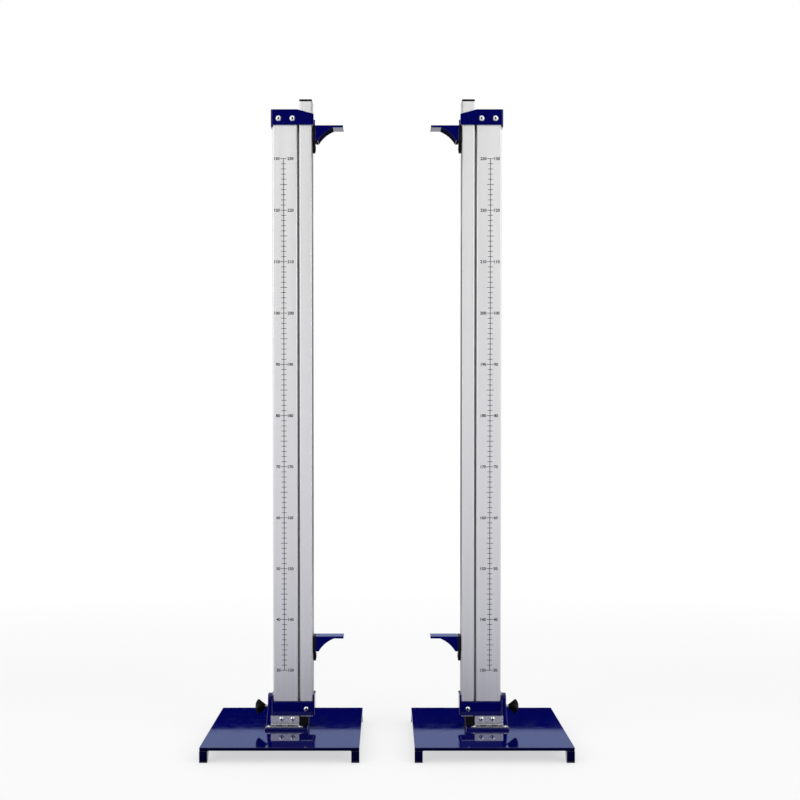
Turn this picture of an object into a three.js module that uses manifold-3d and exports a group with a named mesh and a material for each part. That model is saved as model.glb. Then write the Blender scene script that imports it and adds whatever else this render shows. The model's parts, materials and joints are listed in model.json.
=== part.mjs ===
// A pair of high jump standards: each is a steel base plate on four feet, a column that folds
// forward on a butt hinge, and a mast with two bar rests that slides up the column's T-slot.
// Millimetres, +Z up, origin on the floor midway between the two standards, -Y is the front.
// Everything is drawn for the right-hand standard, x measured outwards from the column's centre
// line, and the left-hand one is its mirror image.
import * as THREE from "three";
import { mergeVertices } from "three/addons/utils/BufferGeometryUtils.js";
import Module from "manifold-3d";

const wasm = await Module();
wasm.setup();

// Whole object
const standardSpacing = 398;

// Clearances
const seatGap = 0.3;
const slideGap = 0.6;
const pinGap = 0.25;
const holeGap = 0.2;
const cutOverrun = 2;

// Base plate and its feet
const plateWidth = 296;
const plateDepth = 372;
const plateThickness = 6;
const plateCornerRadius = 3;
const footWidth = 15;
const footHeight = 22.2;
const footTopDepth = 30;
const footBottomDepth = 13;

// Column, a tube with a T-slot along its inner side
const columnWidth = 49;
const columnDepth = 50;
const columnCentreY = 7.5;
const tubeWall = 2;
const tubeCornerRadius = 2.5;
const slotOpening = 8;
const channelWidth = 16;
const channelDepth = 7;

// Mast, a narrower tube with a T-rib that runs in the slot
const mastWidth = 25;
const mastGap = 3.5;
const mastAboveRest = 49;
const ribBelowMastTop = 56.5;
const capThickness = 4;
const plugDepth = 12;

// Bar rests: the lower one's height over the mast's end, the distance to the upper one, the shape
const lowerRestRise = 157;
const restSpacing = 1000;
const restLength = 55;
const restDepth = 40;
const restThickness = 4.5;
const restHeight = 30;
const gussetFoot = 6;
const gussetCurveShare = 0.33;
const restTip = 19;
const mountThickness = 5;
const mountTongueRadius = 10;
const restScrewBelow = 11;
const tenonWidth = 20;
const tenonHeight = 12;
const tenonDrop = 8;

// Head clamp over the top of column and mast
const columnAboveRest = 26.2;
const clampHeight = 30;
const clampSlopeDrop = 8.6;
const clampSheet = 2.5;
const clampSideHeight = 37;
const clampInnerReach = 3.5;
const clampBoltDrop = 18;
const clampBoltOuter = 12;
const clampBoltSpacing = 27;
const bossRadius = 10;
const bossLength = 7;

// Socket round the foot of column and mast
const socketSheet = 3.5;
const mastEndShown = 2;
const socketPlateHeight = 28.5;
const socketEarHeight = 40;
const socketEarRadius = 9;

// Pad, hinge and foot block
const padThickness = 4;
const padInnerInset = 0.7;
const padFrontMargin = 4;
const padBackMargin = 8;
const padCornerRadius = 2;
const hingeShift = 1.4;
const lowerLeafInset = 1.7;
const lowerLeafDepth = 15;
const lowerScrewInset = 6;
const lowerScrewAhead = 8.5;
const upperLeafWidth = 56;
const upperLeafClearance = 0.5;
const leafThickness = 1.5;
const barrelRadius = 3;
const pinRadius = 1.5;
const knuckleCount = 5;
const upperScrewSpacing = 22;
const upperScrewShift = -4;
const blockHeight = 18.6;
const blockInset = 8.9;
const spigotHeight = 40;

// Lock lug and knobs
const lockRise = 13;
const lugThickness = 8;
const lugRise = 27.3;
const lugTopRadius = 12;
const lugBaseDepth = 40;
const lugFlare = 3;
const lugFlareHeight = 40;
const knobRadius = 15.5;
const knobLobeDepth = 2.6;
const knobLobes = 5;
const knobGrip = 12;
const knobHubLength = 6;
const knobHubRadius = 8;
const knobNeck = 5.5;
const knobDome = 2;
const studRadius = 4;

// Screws: shank, head and driver recess
const buttonBolt = { shank: 3, length: 8, head: 5.5, height: 3.3, recess: 2, recessDepth: 2 };
const restBolt = { shank: 3, length: 11, head: 6.5, height: 1.2, recess: 2.2, recessDepth: 0.8 };
const socketBolt = { shank: 2.5, length: socketSheet, head: 5, height: 2.8, recess: 1.6, recessDepth: 1.6 };
const panScrew = { shank: 2, length: 12, head: 5, height: 2.2, recess: 2.6, recessDepth: 1.3 };
const padScrew = { shank: 2, length: 8, head: 4.5, height: 2.2, recess: 2.4, recessDepth: 1.3 };
const recessSlot = 0.9;
const headRimShare = 0.3;

// Facet counts
const roundSides = 24;
const smallSides = 16;
const cornerSteps = 3;
const curveSteps = 10;
const domeSteps = 3;
const lobeSteps = 8;
const hexSides = 6;

// Heights and faces that several pieces share
const plateBottom = footHeight + seatGap;
const plateTop = plateBottom + plateThickness;
const padTop = plateTop + seatGap + padThickness;
const hingeHeight = padTop + seatGap + barrelRadius;
const blockBottom = padTop + seatGap;
const blockTop = blockBottom + blockHeight;
const mastBottom = blockTop + seatGap;
const lowerRestTop = mastBottom + lowerRestRise;
const restTops = { lower: lowerRestTop, upper: lowerRestTop + restSpacing };
const mastTop = restTops.upper + mastAboveRest;
const columnTop = restTops.upper + columnAboveRest;
const clampTop = columnTop + seatGap + clampSheet;
const clampBottom = clampTop - clampHeight;
const clampBoltHeight = clampTop - clampBoltDrop;
const socketBottom = mastBottom + mastEndShown;
const lockHeight = socketBottom + lockRise;
const upperLeafBottom = hingeHeight + barrelRadius + seatGap;
const upperLeafTop = socketBottom - upperLeafClearance;
const upperScrewHeight = (upperLeafBottom + upperLeafTop) / 2;
const restScrewDrop = restHeight + restScrewBelow;
const columnFront = columnCentreY - columnDepth / 2;
const columnBack = columnCentreY + columnDepth / 2;
const columnInner = -columnWidth / 2;
const columnOuter = columnWidth / 2;
const mastOuter = columnInner - mastGap;
const mastInner = mastOuter - mastWidth;
const mastCentreX = (mastInner + mastOuter) / 2;
const mountFace = mastInner - seatGap - mountThickness;
const restFace = mountFace - seatGap;
const blockFront = columnFront - 2 * seatGap;
const hingeY = blockFront - seatGap - barrelRadius;
const blockInner = mastInner + blockInset;
const blockOuter = columnOuter + seatGap + socketSheet;
const lugInner = blockOuter + seatGap;
const lugOuter = lugInner + lugThickness;
const padInner = blockInner + padInnerInset;
const padOuter = lugOuter + lugFlare;
const lowerLeafHalf = padOuter - lowerLeafInset - hingeShift;
const tubeTop = mastTop - capThickness - seatGap;
const mastKnobHeight = clampBottom + bossRadius + clampSheet / 2;

// Materials
const paint = new THREE.MeshStandardMaterial({ color: 0x0a0a5c, roughness: 0.18, metalness: 0 });
const anodised = new THREE.MeshStandardMaterial({ color: 0xc9c9cc, roughness: 0.4, metalness: 1 });
const zinc = new THREE.MeshStandardMaterial({ color: 0xc4c6c8, roughness: 0.3, metalness: 1 });
const blackPlastic = new THREE.MeshStandardMaterial({ color: 0x0c0c0e, roughness: 0.5, metalness: 0 });
const blackSteel = new THREE.MeshStandardMaterial({ color: 0x141416, roughness: 0.35, metalness: 0.6 });

// Directions for screws and knobs
const toFront = new THREE.Vector3(0, -1, 0);
const toBack = new THREE.Vector3(0, 1, 0);
const toInside = new THREE.Vector3(-1, 0, 0);
const toOutside = new THREE.Vector3(1, 0, 0);
const upwards = new THREE.Vector3(0, 0, 1);
const latheAxis = new THREE.Vector3(0, 1, 0);

// Solids: three.js geometry to manifold and back
function solidFrom(geometry) {
  const bare = new THREE.BufferGeometry();
  const source = geometry.index ? geometry.toNonIndexed() : geometry;
  bare.setAttribute("position", source.getAttribute("position"));
  const merged = mergeVertices(bare);
  return new wasm.Manifold(
    new wasm.Mesh({
      numProp: 3,
      vertProperties: new Float32Array(merged.getAttribute("position").array),
      triVerts: new Uint32Array(merged.index.array),
    }),
  );
}

function geometryFrom(solid) {
  const mesh = solid.getMesh();
  const corners = new Float32Array(mesh.numVert * 3);
  for (let i = 0; i < mesh.numVert; i += 1) {
    const first = i * mesh.numProp;
    corners.set(mesh.vertProperties.subarray(first, first + 3), i * 3);
  }
  const shared = new THREE.BufferGeometry();
  shared.setAttribute("position", new THREE.BufferAttribute(corners, 3));
  shared.setIndex(new THREE.BufferAttribute(new Uint32Array(mesh.triVerts), 1));
  const flat = shared.toNonIndexed();
  flat.computeVertexNormals();
  return flat;
}

// A block between two values on each axis.
function block([x0, x1], [y0, y1], [z0, z1]) {
  const geometry = new THREE.BoxGeometry(x1 - x0, y1 - y0, z1 - z0);
  geometry.translate((x0 + x1) / 2, (y0 + y1) / 2, (z0 + z1) / 2);
  return solidFrom(geometry);
}

// An outline drawn in two of the axes, run along the third between two values.
const planes = {
  xy: (low) => new THREE.Matrix4().makeTranslation(0, 0, low),
  yz: (low) =>
    new THREE.Matrix4()
      .makeBasis(
        new THREE.Vector3(0, 1, 0),
        new THREE.Vector3(0, 0, 1),
        new THREE.Vector3(1, 0, 0),
      )
      .premultiply(new THREE.Matrix4().makeTranslation(low, 0, 0)),
  xz: (low, high) =>
    new THREE.Matrix4()
      .makeBasis(
        new THREE.Vector3(1, 0, 0),
        new THREE.Vector3(0, 0, 1),
        new THREE.Vector3(0, -1, 0),
      )
      .premultiply(new THREE.Matrix4().makeTranslation(0, high, 0)),
};

function prism(plane, outline, [low, high], steps = cornerSteps) {
  const geometry = new THREE.ExtrudeGeometry(outline, {
    depth: high - low,
    bevelEnabled: false,
    curveSegments: steps,
  });
  geometry.applyMatrix4(planes[plane](low, high));
  return solidFrom(geometry);
}

// A round bar along x, y or z, its centre line at the two other coordinates.
function bar(axis, radius, [low, high], [u, v], sides = smallSides) {
  const geometry = new THREE.CylinderGeometry(radius, radius, high - low, sides);
  const middle = (low + high) / 2;
  if (axis === "x") {
    geometry.rotateZ(-Math.PI / 2).translate(middle, u, v);
  } else if (axis === "y") {
    geometry.translate(u, middle, v);
  } else {
    geometry.rotateX(Math.PI / 2).translate(u, v, middle);
  }
  return solidFrom(geometry);
}

// A profile turned about the y axis, then stood along a direction from a point.
function aim(geometry, direction, point) {
  const turn = new THREE.Quaternion().setFromUnitVectors(latheAxis, direction);
  geometry.applyQuaternion(turn);
  geometry.translate(point.x, point.y, point.z);
  return solidFrom(geometry);
}

function joined(...solids) {
  return solids.reduce((whole, piece) => whole.add(piece));
}

function cutBy(solid, ...tools) {
  return tools.reduce((left, tool) => left.subtract(tool), solid);
}

// A rectangle with round corners, centred on a point.
function roundRectangle(width, height, radius, u = 0, v = 0) {
  const shape = new THREE.Shape();
  const halfWidth = width / 2;
  const halfHeight = height / 2;
  const corners = [
    [halfWidth - radius, -halfHeight + radius, -Math.PI / 2],
    [halfWidth - radius, halfHeight - radius, 0],
    [-halfWidth + radius, halfHeight - radius, Math.PI / 2],
    [-halfWidth + radius, -halfHeight + radius, Math.PI],
  ];
  corners.forEach(([x, y, start]) => {
    shape.absarc(u + x, v + y, radius, start, start + Math.PI / 2, false);
  });
  shape.closePath();
  return shape;
}

function polygon(points) {
  return new THREE.Shape(points.map(([u, v]) => new THREE.Vector2(u, v)));
}

// Screws
function screwBody(screw, direction, seat) {
  const dome = [];
  const rim = screw.height * headRimShare;
  for (let i = 0; i <= domeSteps; i += 1) {
    const angle = (i / domeSteps) * (Math.PI / 2);
    const radius = screw.head * Math.cos(angle);
    const height = rim + (screw.height - rim) * Math.sin(angle);
    dome.push(new THREE.Vector2(i === domeSteps ? 0 : radius, height));
  }
  const profile = [
    new THREE.Vector2(0, -screw.length),
    new THREE.Vector2(screw.shank, -screw.length),
    new THREE.Vector2(screw.shank, 0),
    new THREE.Vector2(screw.head, 0),
    ...dome,
  ];
  return aim(new THREE.LatheGeometry(profile, smallSides), direction, seat);
}

// A button-head screw with a hexagon socket.
function hexScrew(screw, direction, seat) {
  const depth = screw.recessDepth + cutOverrun;
  const recess = new THREE.CylinderGeometry(screw.recess, screw.recess, depth, hexSides);
  recess.translate(0, screw.height - screw.recessDepth + depth / 2, 0);
  return cutBy(screwBody(screw, direction, seat), aim(recess, direction, seat));
}

// A pan-head screw with a cross recess.
function crossScrew(screw, direction, seat) {
  const depth = screw.recessDepth + cutOverrun;
  const span = 2 * screw.recess;
  const arms = [
    [span, recessSlot],
    [recessSlot, span],
  ].map(([width, length]) => {
    const arm = new THREE.BoxGeometry(width, depth, length);
    arm.translate(0, screw.height - screw.recessDepth + depth / 2, 0);
    return aim(arm, direction, seat);
  });
  return cutBy(screwBody(screw, direction, seat), ...arms);
}

// A star knob: lobed grip, tapered hub and stud, pointing its grip along a direction.
function starKnob(studLength, direction, studTip) {
  const outline = [];
  const steps = knobLobes * lobeSteps;
  for (let i = 0; i < steps; i += 1) {
    const angle = (i / steps) * 2 * Math.PI;
    const radius = knobRadius - knobLobeDepth * (1 - Math.cos(knobLobes * angle)) / 2;
    outline.push([radius * Math.cos(angle), radius * Math.sin(angle)]);
  }
  const gripStart = studLength + knobHubLength;
  const gripEnd = gripStart + knobGrip;
  const grip = new THREE.ExtrudeGeometry(polygon(outline), { depth: knobGrip, bevelEnabled: false });
  grip.rotateX(-Math.PI / 2).translate(0, gripStart, 0);
  const gripCore = knobRadius - knobLobeDepth;
  const turned = [
    [0, 0],
    [studRadius, 0],
    [studRadius, studLength],
    [knobHubRadius, studLength],
    [gripCore, gripStart + knobDome],
    [gripCore - knobDome, gripEnd],
    [knobHubRadius, gripEnd + knobDome],
    [0, gripEnd + knobDome],
  ].map(([radius, along]) => new THREE.Vector2(radius, along));
  return joined(
    aim(grip, direction, studTip),
    aim(new THREE.LatheGeometry(turned, roundSides), direction, studTip),
  );
}

// Base
const padScrewHalf = lowerLeafHalf - lowerScrewInset;
const padScrewX = [hingeShift - padScrewHalf, hingeShift + padScrewHalf];
const padScrewY = hingeY - lowerScrewAhead;

function padScrewHoles() {
  return padScrewX.map((x) =>
    bar("z", padScrew.shank + holeGap, [plateBottom - cutOverrun, hingeHeight], [x, padScrewY]),
  );
}

function basePlate() {
  const outline = roundRectangle(plateWidth, plateDepth, plateCornerRadius);
  return cutBy(prism("xy", outline, [plateBottom, plateTop]), ...padScrewHoles());
}

// A tapered leg at one corner; side and end are 1 or -1, away from the plate's middle.
function foot(side, end) {
  const face = (end * plateDepth) / 2;
  const edge = (side * plateWidth) / 2;
  const outline = polygon([
    [face, 0],
    [face, footHeight],
    [face - end * footTopDepth, footHeight],
    [face - end * footBottomDepth, 0],
  ]);
  const across = [edge, edge - side * footWidth].sort((a, b) => a - b);
  return prism("yz", outline, across);
}

// The pad under the hinge, with the lug that the lock knob screws into.
function hingePad() {
  const front = hingeY - lowerLeafDepth - padFrontMargin;
  const back = columnBack + padBackMargin;
  const outline = roundRectangle(
    padOuter - padInner,
    back - front,
    padCornerRadius,
    (padInner + padOuter) / 2,
    (front + back) / 2,
  );
  const pad = prism("xy", outline, [padTop - padThickness, padTop]);
  const lugBase = padTop - padThickness / 2;
  const lugTop = lockHeight + lugRise;
  const side = new THREE.Shape();
  side.moveTo(columnCentreY - lugBaseDepth / 2, lugBase);
  side.lineTo(columnCentreY + lugBaseDepth / 2, lugBase);
  side.absarc(columnCentreY, lugTop - lugTopRadius, lugTopRadius, 0, Math.PI, false);
  side.closePath();
  const lugFace = polygon([
    [lugInner, lugBase],
    [padOuter, lugBase],
    [lugOuter, lugBase + lugFlareHeight],
    [lugOuter, lugTop + cutOverrun],
    [lugInner, lugTop + cutOverrun],
  ]);
  const reach = [columnCentreY - lugBaseDepth, columnCentreY + lugBaseDepth];
  const across = [lugInner - cutOverrun, padOuter + cutOverrun];
  const lug = prism("xz", lugFace, reach).intersect(prism("yz", side, across, curveSteps));
  const studHole = bar("x", studRadius + holeGap, across, [columnCentreY, lockHeight]);
  return cutBy(joined(pad, lug), studHole, ...padScrewHoles());
}

// The stretch of one hinge knuckle, counted from the inner end.
function knuckleSpan(index) {
  const pitch = upperLeafWidth / knuckleCount;
  const start = hingeShift - upperLeafWidth / 2 + index * pitch;
  return [start + seatGap / 2, start + pitch - seatGap / 2];
}

function knuckleSolids(first, tongue) {
  const solids = [];
  for (let index = first; index < knuckleCount; index += 2) {
    const span = knuckleSpan(index);
    solids.push(bar("x", barrelRadius, span, [hingeY, hingeHeight]));
    solids.push(tongue(span));
  }
  return solids;
}

function pinBore() {
  const half = upperLeafWidth / 2 + cutOverrun;
  return bar("x", pinRadius + pinGap, [hingeShift - half, hingeShift + half], [hingeY, hingeHeight]);
}

function lowerLeaf() {
  const across = [hingeShift - lowerLeafHalf, hingeShift + lowerLeafHalf];
  const low = padTop + seatGap;
  const high = low + leafThickness;
  const front = hingeY - lowerLeafDepth;
  const plate = block(across, [front, hingeY - barrelRadius - seatGap], [low, high]);
  const tongue = (span) => block(span, [hingeY - barrelRadius - 2 * seatGap, hingeY], [low, high]);
  const whole = joined(plate, ...knuckleSolids(0, tongue));
  return cutBy(whole, pinBore(), ...padScrewHoles());
}

const leafScrewX = [-upperScrewSpacing / 2, upperScrewSpacing / 2].map(
  (x) => hingeShift + upperScrewShift + x,
);
const leafBack = hingeY + barrelRadius;
const leafFront = leafBack - leafThickness;

function leafScrewHoles() {
  return leafScrewX.map((x) =>
    bar(
      "y",
      panScrew.shank + holeGap,
      [leafFront - cutOverrun, leafFront + panScrew.length + cutOverrun],
      [x, upperScrewHeight],
    ),
  );
}

function upperLeaf() {
  const across = [hingeShift - upperLeafWidth / 2, hingeShift + upperLeafWidth / 2];
  const thick = [leafFront, leafBack];
  const plate = block(across, thick, [upperLeafBottom, upperLeafTop]);
  const tongue = (span) => block(span, thick, [hingeHeight, upperLeafBottom + seatGap]);
  const whole = joined(plate, ...knuckleSolids(1, tongue));
  return cutBy(whole, pinBore(), ...leafScrewHoles());
}

function hingePin() {
  const half = upperLeafWidth / 2 - seatGap / 2;
  return bar("x", pinRadius, [hingeShift - half, hingeShift + half], [hingeY, hingeHeight]);
}

// The block that column and mast stand on, with a spigot inside the column.
function footBlock() {
  const body = block(
    [blockInner, blockOuter],
    [blockFront, columnBack + seatGap],
    [blockBottom, blockTop],
  );
  const cavityInner = columnInner + 2 * tubeWall + channelDepth;
  const spigotInner = cavityInner + tubeWall + seatGap;
  const spigotOuter = columnOuter - tubeWall - seatGap;
  const inset = tubeWall + tubeCornerRadius;
  const spigot = block(
    [spigotInner, spigotOuter],
    [columnFront + inset, columnBack - inset],
    [blockTop - seatGap, blockTop + spigotHeight],
  );
  return cutBy(joined(body, spigot), ...leafScrewHoles());
}

// Column and mast
function columnOutline() {
  const slotHalf = slotOpening / 2;
  const channelHalf = channelWidth / 2;
  const radius = tubeCornerRadius;
  const lip = columnInner + tubeWall;
  const floor = lip + channelDepth;
  const shape = new THREE.Shape();
  shape.moveTo(columnInner, columnCentreY - slotHalf);
  shape.absarc(columnInner + radius, columnFront + radius, radius, Math.PI, Math.PI * 1.5, false);
  shape.absarc(columnOuter - radius, columnFront + radius, radius, -Math.PI / 2, 0, false);
  shape.absarc(columnOuter - radius, columnBack - radius, radius, 0, Math.PI / 2, false);
  shape.absarc(columnInner + radius, columnBack - radius, radius, Math.PI / 2, Math.PI, false);
  shape.lineTo(columnInner, columnCentreY + slotHalf);
  shape.lineTo(lip, columnCentreY + slotHalf);
  shape.lineTo(lip, columnCentreY + channelHalf);
  shape.lineTo(floor, columnCentreY + channelHalf);
  shape.lineTo(floor, columnCentreY - channelHalf);
  shape.lineTo(lip, columnCentreY - channelHalf);
  shape.lineTo(lip, columnCentreY - slotHalf);
  shape.closePath();
  const wallHalf = channelHalf + tubeWall;
  const inner = columnInner + tubeWall;
  const outer = columnOuter - tubeWall;
  const front = columnFront + tubeWall;
  const back = columnBack - tubeWall;
  const cavity = [
    [inner, front],
    [outer, front],
    [outer, back],
    [inner, back],
    [inner, columnCentreY + wallHalf],
    [floor + tubeWall, columnCentreY + wallHalf],
    [floor + tubeWall, columnCentreY - wallHalf],
    [inner, columnCentreY - wallHalf],
  ];
  shape.holes.push(polygon(cavity));
  return shape;
}

const clampBoltX = [clampBoltOuter, clampBoltOuter - clampBoltSpacing];
const clampFront = columnFront - seatGap - clampSheet;
const clampBack = columnBack + seatGap + clampSheet;

function clampBoltHoles() {
  return clampBoltX.map((x) =>
    bar(
      "y",
      buttonBolt.shank + holeGap,
      [clampFront - cutOverrun, clampFront + buttonBolt.length + cutOverrun],
      [x, clampBoltHeight],
    ),
  );
}

function column() {
  const tube = prism("xy", columnOutline(), [mastBottom, columnTop]);
  return cutBy(tube, ...clampBoltHoles());
}

function mastTube() {
  const outline = roundRectangle(
    mastWidth,
    columnDepth,
    tubeCornerRadius,
    mastCentreX,
    columnCentreY,
  );
  const bore = polygon([
    [mastInner + tubeWall, columnFront + tubeWall],
    [mastOuter - tubeWall, columnFront + tubeWall],
    [mastOuter - tubeWall, columnBack - tubeWall],
    [mastInner + tubeWall, columnBack - tubeWall],
  ]);
  outline.holes.push(bore);
  return prism("xy", outline, [mastBottom, tubeTop]);
}

function mastRib() {
  const neckHalf = slotOpening / 2 - slideGap;
  const headHalf = channelWidth / 2 - slideGap;
  const root = mastOuter - tubeWall / 2;
  const lip = columnInner + tubeWall + slideGap;
  const end = columnInner + tubeWall + channelDepth - slideGap;
  const outline = polygon([
    [root, columnCentreY - neckHalf],
    [lip, columnCentreY - neckHalf],
    [lip, columnCentreY - headHalf],
    [end, columnCentreY - headHalf],
    [end, columnCentreY + headHalf],
    [lip, columnCentreY + headHalf],
    [lip, columnCentreY + neckHalf],
    [root, columnCentreY + neckHalf],
  ]);
  return prism("xy", outline, [mastBottom, mastTop - ribBelowMastTop]);
}

function restScrewHole(top) {
  return bar(
    "x",
    restBolt.shank + holeGap,
    [mountFace - cutOverrun, mountFace + restBolt.length + cutOverrun],
    [columnCentreY, top - restScrewDrop],
  );
}

function mast() {
  const holes = Object.values(restTops).map(restScrewHole);
  return cutBy(joined(mastTube(), mastRib()), ...holes);
}

function mastCap() {
  const plate = prism(
    "xy",
    roundRectangle(mastWidth, columnDepth, tubeCornerRadius, mastCentreX, columnCentreY),
    [mastTop - capThickness, mastTop],
  );
  const inset = tubeWall + seatGap;
  const plug = block(
    [mastInner + inset, mastOuter - inset],
    [columnFront + inset, columnBack - inset],
    [mastTop - capThickness - plugDepth, mastTop - capThickness / 2],
  );
  return joined(plate, plug);
}

// Bar rests and the mounts that hold them on the mast
function tenonHeights(top) {
  return [top - tenonDrop - tenonHeight, top - tenonDrop];
}

function barRest(top) {
  const underside = top - restThickness;
  const bottom = top - restHeight;
  const tip = restFace - restLength;
  const curveEnd = tip + restTip;
  const shape = new THREE.Shape();
  shape.moveTo(restFace, top);
  shape.lineTo(tip, top);
  shape.lineTo(tip, underside);
  shape.lineTo(curveEnd, underside);
  const footEnd = restFace - gussetFoot;
  const pullX = footEnd + gussetCurveShare * (curveEnd - footEnd);
  const pullZ = underside + gussetCurveShare * (bottom - underside);
  shape.quadraticCurveTo(pullX, pullZ, footEnd, bottom);
  shape.lineTo(restFace, bottom);
  shape.closePath();
  const across = [columnCentreY - restDepth / 2, columnCentreY + restDepth / 2];
  const body = prism("xz", shape, across, curveSteps);
  const tenon = block(
    [restFace - gussetFoot / 2, restFace + mountThickness],
    [columnCentreY - tenonWidth / 2, columnCentreY + tenonWidth / 2],
    tenonHeights(top),
  );
  return joined(body, tenon);
}

function restMount(top) {
  const half = restDepth / 2;
  const shoulder = top - restHeight;
  const centre = top - restScrewDrop;
  const shape = new THREE.Shape();
  shape.moveTo(columnCentreY + half, shoulder);
  shape.lineTo(columnCentreY + half, top);
  shape.lineTo(columnCentreY - half, top);
  shape.lineTo(columnCentreY - half, shoulder);
  shape.absarc(columnCentreY, centre, mountTongueRadius, Math.PI, 2 * Math.PI, false);
  shape.closePath();
  const plate = prism("yz", shape, [mountFace, mountFace + mountThickness], curveSteps);
  const [low, high] = tenonHeights(top);
  const pocketHalf = tenonWidth / 2 + seatGap;
  const pocket = block(
    [mountFace - cutOverrun, mastInner],
    [columnCentreY - pocketHalf, columnCentreY + pocketHalf],
    [low - seatGap, high + seatGap],
  );
  return cutBy(plate, pocket, restScrewHole(top));
}

// Head clamp: front and back plates, outer side and a top over the column
function headClamp() {
  const inner = mastInner - clampInnerReach;
  const side = columnOuter + seatGap;
  const outer = side + clampSheet;
  const cheek = polygon([
    [inner, clampBottom],
    [outer, clampBottom],
    [outer, clampTop],
    [columnInner, clampTop],
    [inner, clampTop - clampSlopeDrop],
  ]);
  const front = prism("xz", cheek, [clampFront, clampFront + clampSheet]);
  const back = prism("xz", cheek, [clampBack - clampSheet, clampBack]);
  const half = clampSheet / 2;
  const between = [clampFront + half, clampBack - half];
  const outerSide = block([side, outer], between, [clampTop - clampSideHeight, clampTop]);
  const channelFloor = columnInner + tubeWall + channelDepth;
  const lid = block([channelFloor, side + half], between, [clampTop - clampSheet, clampTop]);
  const bossStretch = [clampBack - half, clampBack + bossLength];
  const boss = bar("y", bossRadius, bossStretch, [mastCentreX, mastKnobHeight], roundSides);
  const studHole = bar(
    "y",
    studRadius + holeGap,
    [columnBack, clampBack + bossLength + cutOverrun],
    [mastCentreX, mastKnobHeight],
  );
  return cutBy(joined(front, back, outerSide, lid, boss), studHole, ...clampBoltHoles());
}

// Socket: front and back plates with a taller ear at each end
function socket() {
  const wallInner = mastInner - seatGap;
  const wallOuter = columnOuter + seatGap;
  const front = columnFront - seatGap - socketSheet;
  const back = columnBack + seatGap + socketSheet;
  const half = socketSheet / 2;
  const plateHeights = [socketBottom, socketBottom + socketPlateHeight];
  const across = [wallInner - half, wallOuter + half];
  const frontPlate = block(across, [front, front + socketSheet], plateHeights);
  const backPlate = block(across, [back - socketSheet, back], plateHeights);
  const earTop = socketBottom + socketEarHeight;
  const ear = new THREE.Shape();
  ear.moveTo(front, socketBottom);
  ear.lineTo(back, socketBottom);
  ear.absarc(back - socketEarRadius, earTop - socketEarRadius, socketEarRadius, 0, Math.PI / 2, false);
  ear.absarc(
    front + socketEarRadius,
    earTop - socketEarRadius,
    socketEarRadius,
    Math.PI / 2,
    Math.PI,
    false,
  );
  ear.closePath();
  const innerEar = prism("yz", ear, [wallInner - socketSheet, wallInner]);
  const outerEar = prism("yz", ear, [wallOuter, wallOuter + socketSheet]);
  const hole = bar(
    "y",
    socketBolt.shank + holeGap,
    [front - cutOverrun, front + socketSheet + cutOverrun],
    [mastCentreX, lockHeight],
  );
  return cutBy(joined(frontPlate, backPlate, innerEar, outerEar), hole);
}

// One standard: every piece by its name, with its solid and material
function pieces() {
  const at = (x, y, z) => new THREE.Vector3(x, y, z);
  const socketFront = columnFront - seatGap - socketSheet;
  const list = [
    ["base_plate", basePlate(), paint],
    ["foot_front_outer", foot(1, -1), paint],
    ["foot_front_inner", foot(-1, -1), paint],
    ["foot_back_outer", foot(1, 1), paint],
    ["foot_back_inner", foot(-1, 1), paint],
    ["hinge_pad", hingePad(), paint],
    ["hinge_lower_leaf", lowerLeaf(), zinc],
    ["hinge_upper_leaf", upperLeaf(), zinc],
    ["hinge_pin", hingePin(), zinc],
    ["foot_block", footBlock(), blackSteel],
    ["socket", socket(), paint],
    ["socket_screw", hexScrew(socketBolt, toFront, at(mastCentreX, socketFront, lockHeight)), zinc],
    ["column", column(), anodised],
    ["mast", mast(), anodised],
    ["mast_cap", mastCap(), blackPlastic],
    ["head_clamp", headClamp(), paint],
  ];
  const sides = ["inner", "outer"];
  sides.forEach((side, i) => {
    const padSeat = at(padScrewX[i], padScrewY, padTop + seatGap + leafThickness);
    const leafSeat = at(leafScrewX[i], leafFront, upperScrewHeight);
    const clampSeat = at(clampBoltX[1 - i], clampFront, clampBoltHeight);
    list.push([`lower_leaf_screw_${side}`, crossScrew(padScrew, upwards, padSeat), zinc]);
    list.push([`upper_leaf_screw_${side}`, crossScrew(panScrew, toFront, leafSeat), zinc]);
    list.push([`clamp_bolt_${side}`, hexScrew(buttonBolt, toFront, clampSeat), zinc]);
  });
  Object.entries(restTops).forEach(([level, top]) => {
    const seat = at(mountFace, columnCentreY, top - restScrewDrop);
    list.push([`${level}_rest`, barRest(top), paint]);
    list.push([`${level}_rest_mount`, restMount(top), blackPlastic]);
    list.push([`${level}_rest_screw`, hexScrew(restBolt, toInside, seat), blackSteel]);
  });
  const lockStud = lugThickness + knobNeck;
  const lockTip = at(lugInner, columnCentreY, lockHeight);
  list.push(["lock_knob", starKnob(lockStud, toOutside, lockTip), blackPlastic]);
  const mastStud = clampSheet + bossLength + knobNeck;
  const mastStudTip = at(mastCentreX, columnBack + seatGap, mastKnobHeight);
  list.push(["mast_knob", starKnob(mastStud, toBack, mastStudTip), blackPlastic]);
  return list;
}

const standards = new THREE.Group();
const pieceList = pieces();
[
  ["left", -1],
  ["right", 1],
].forEach(([name, side]) => {
  const standard = new THREE.Group();
  standard.position.x = (side * standardSpacing) / 2;
  standard.scale.x = side;
  pieceList.forEach(([piece, solid, material]) => {
    const mesh = new THREE.Mesh(geometryFrom(solid), material);
    mesh.name = `${name}_${piece}`;
    standard.add(mesh);
  });
  standards.add(standard);
});

export default standards;
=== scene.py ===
import json
import math
from collections import namedtuple

import bmesh
import bpy
from mathutils import Matrix, Vector

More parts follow.
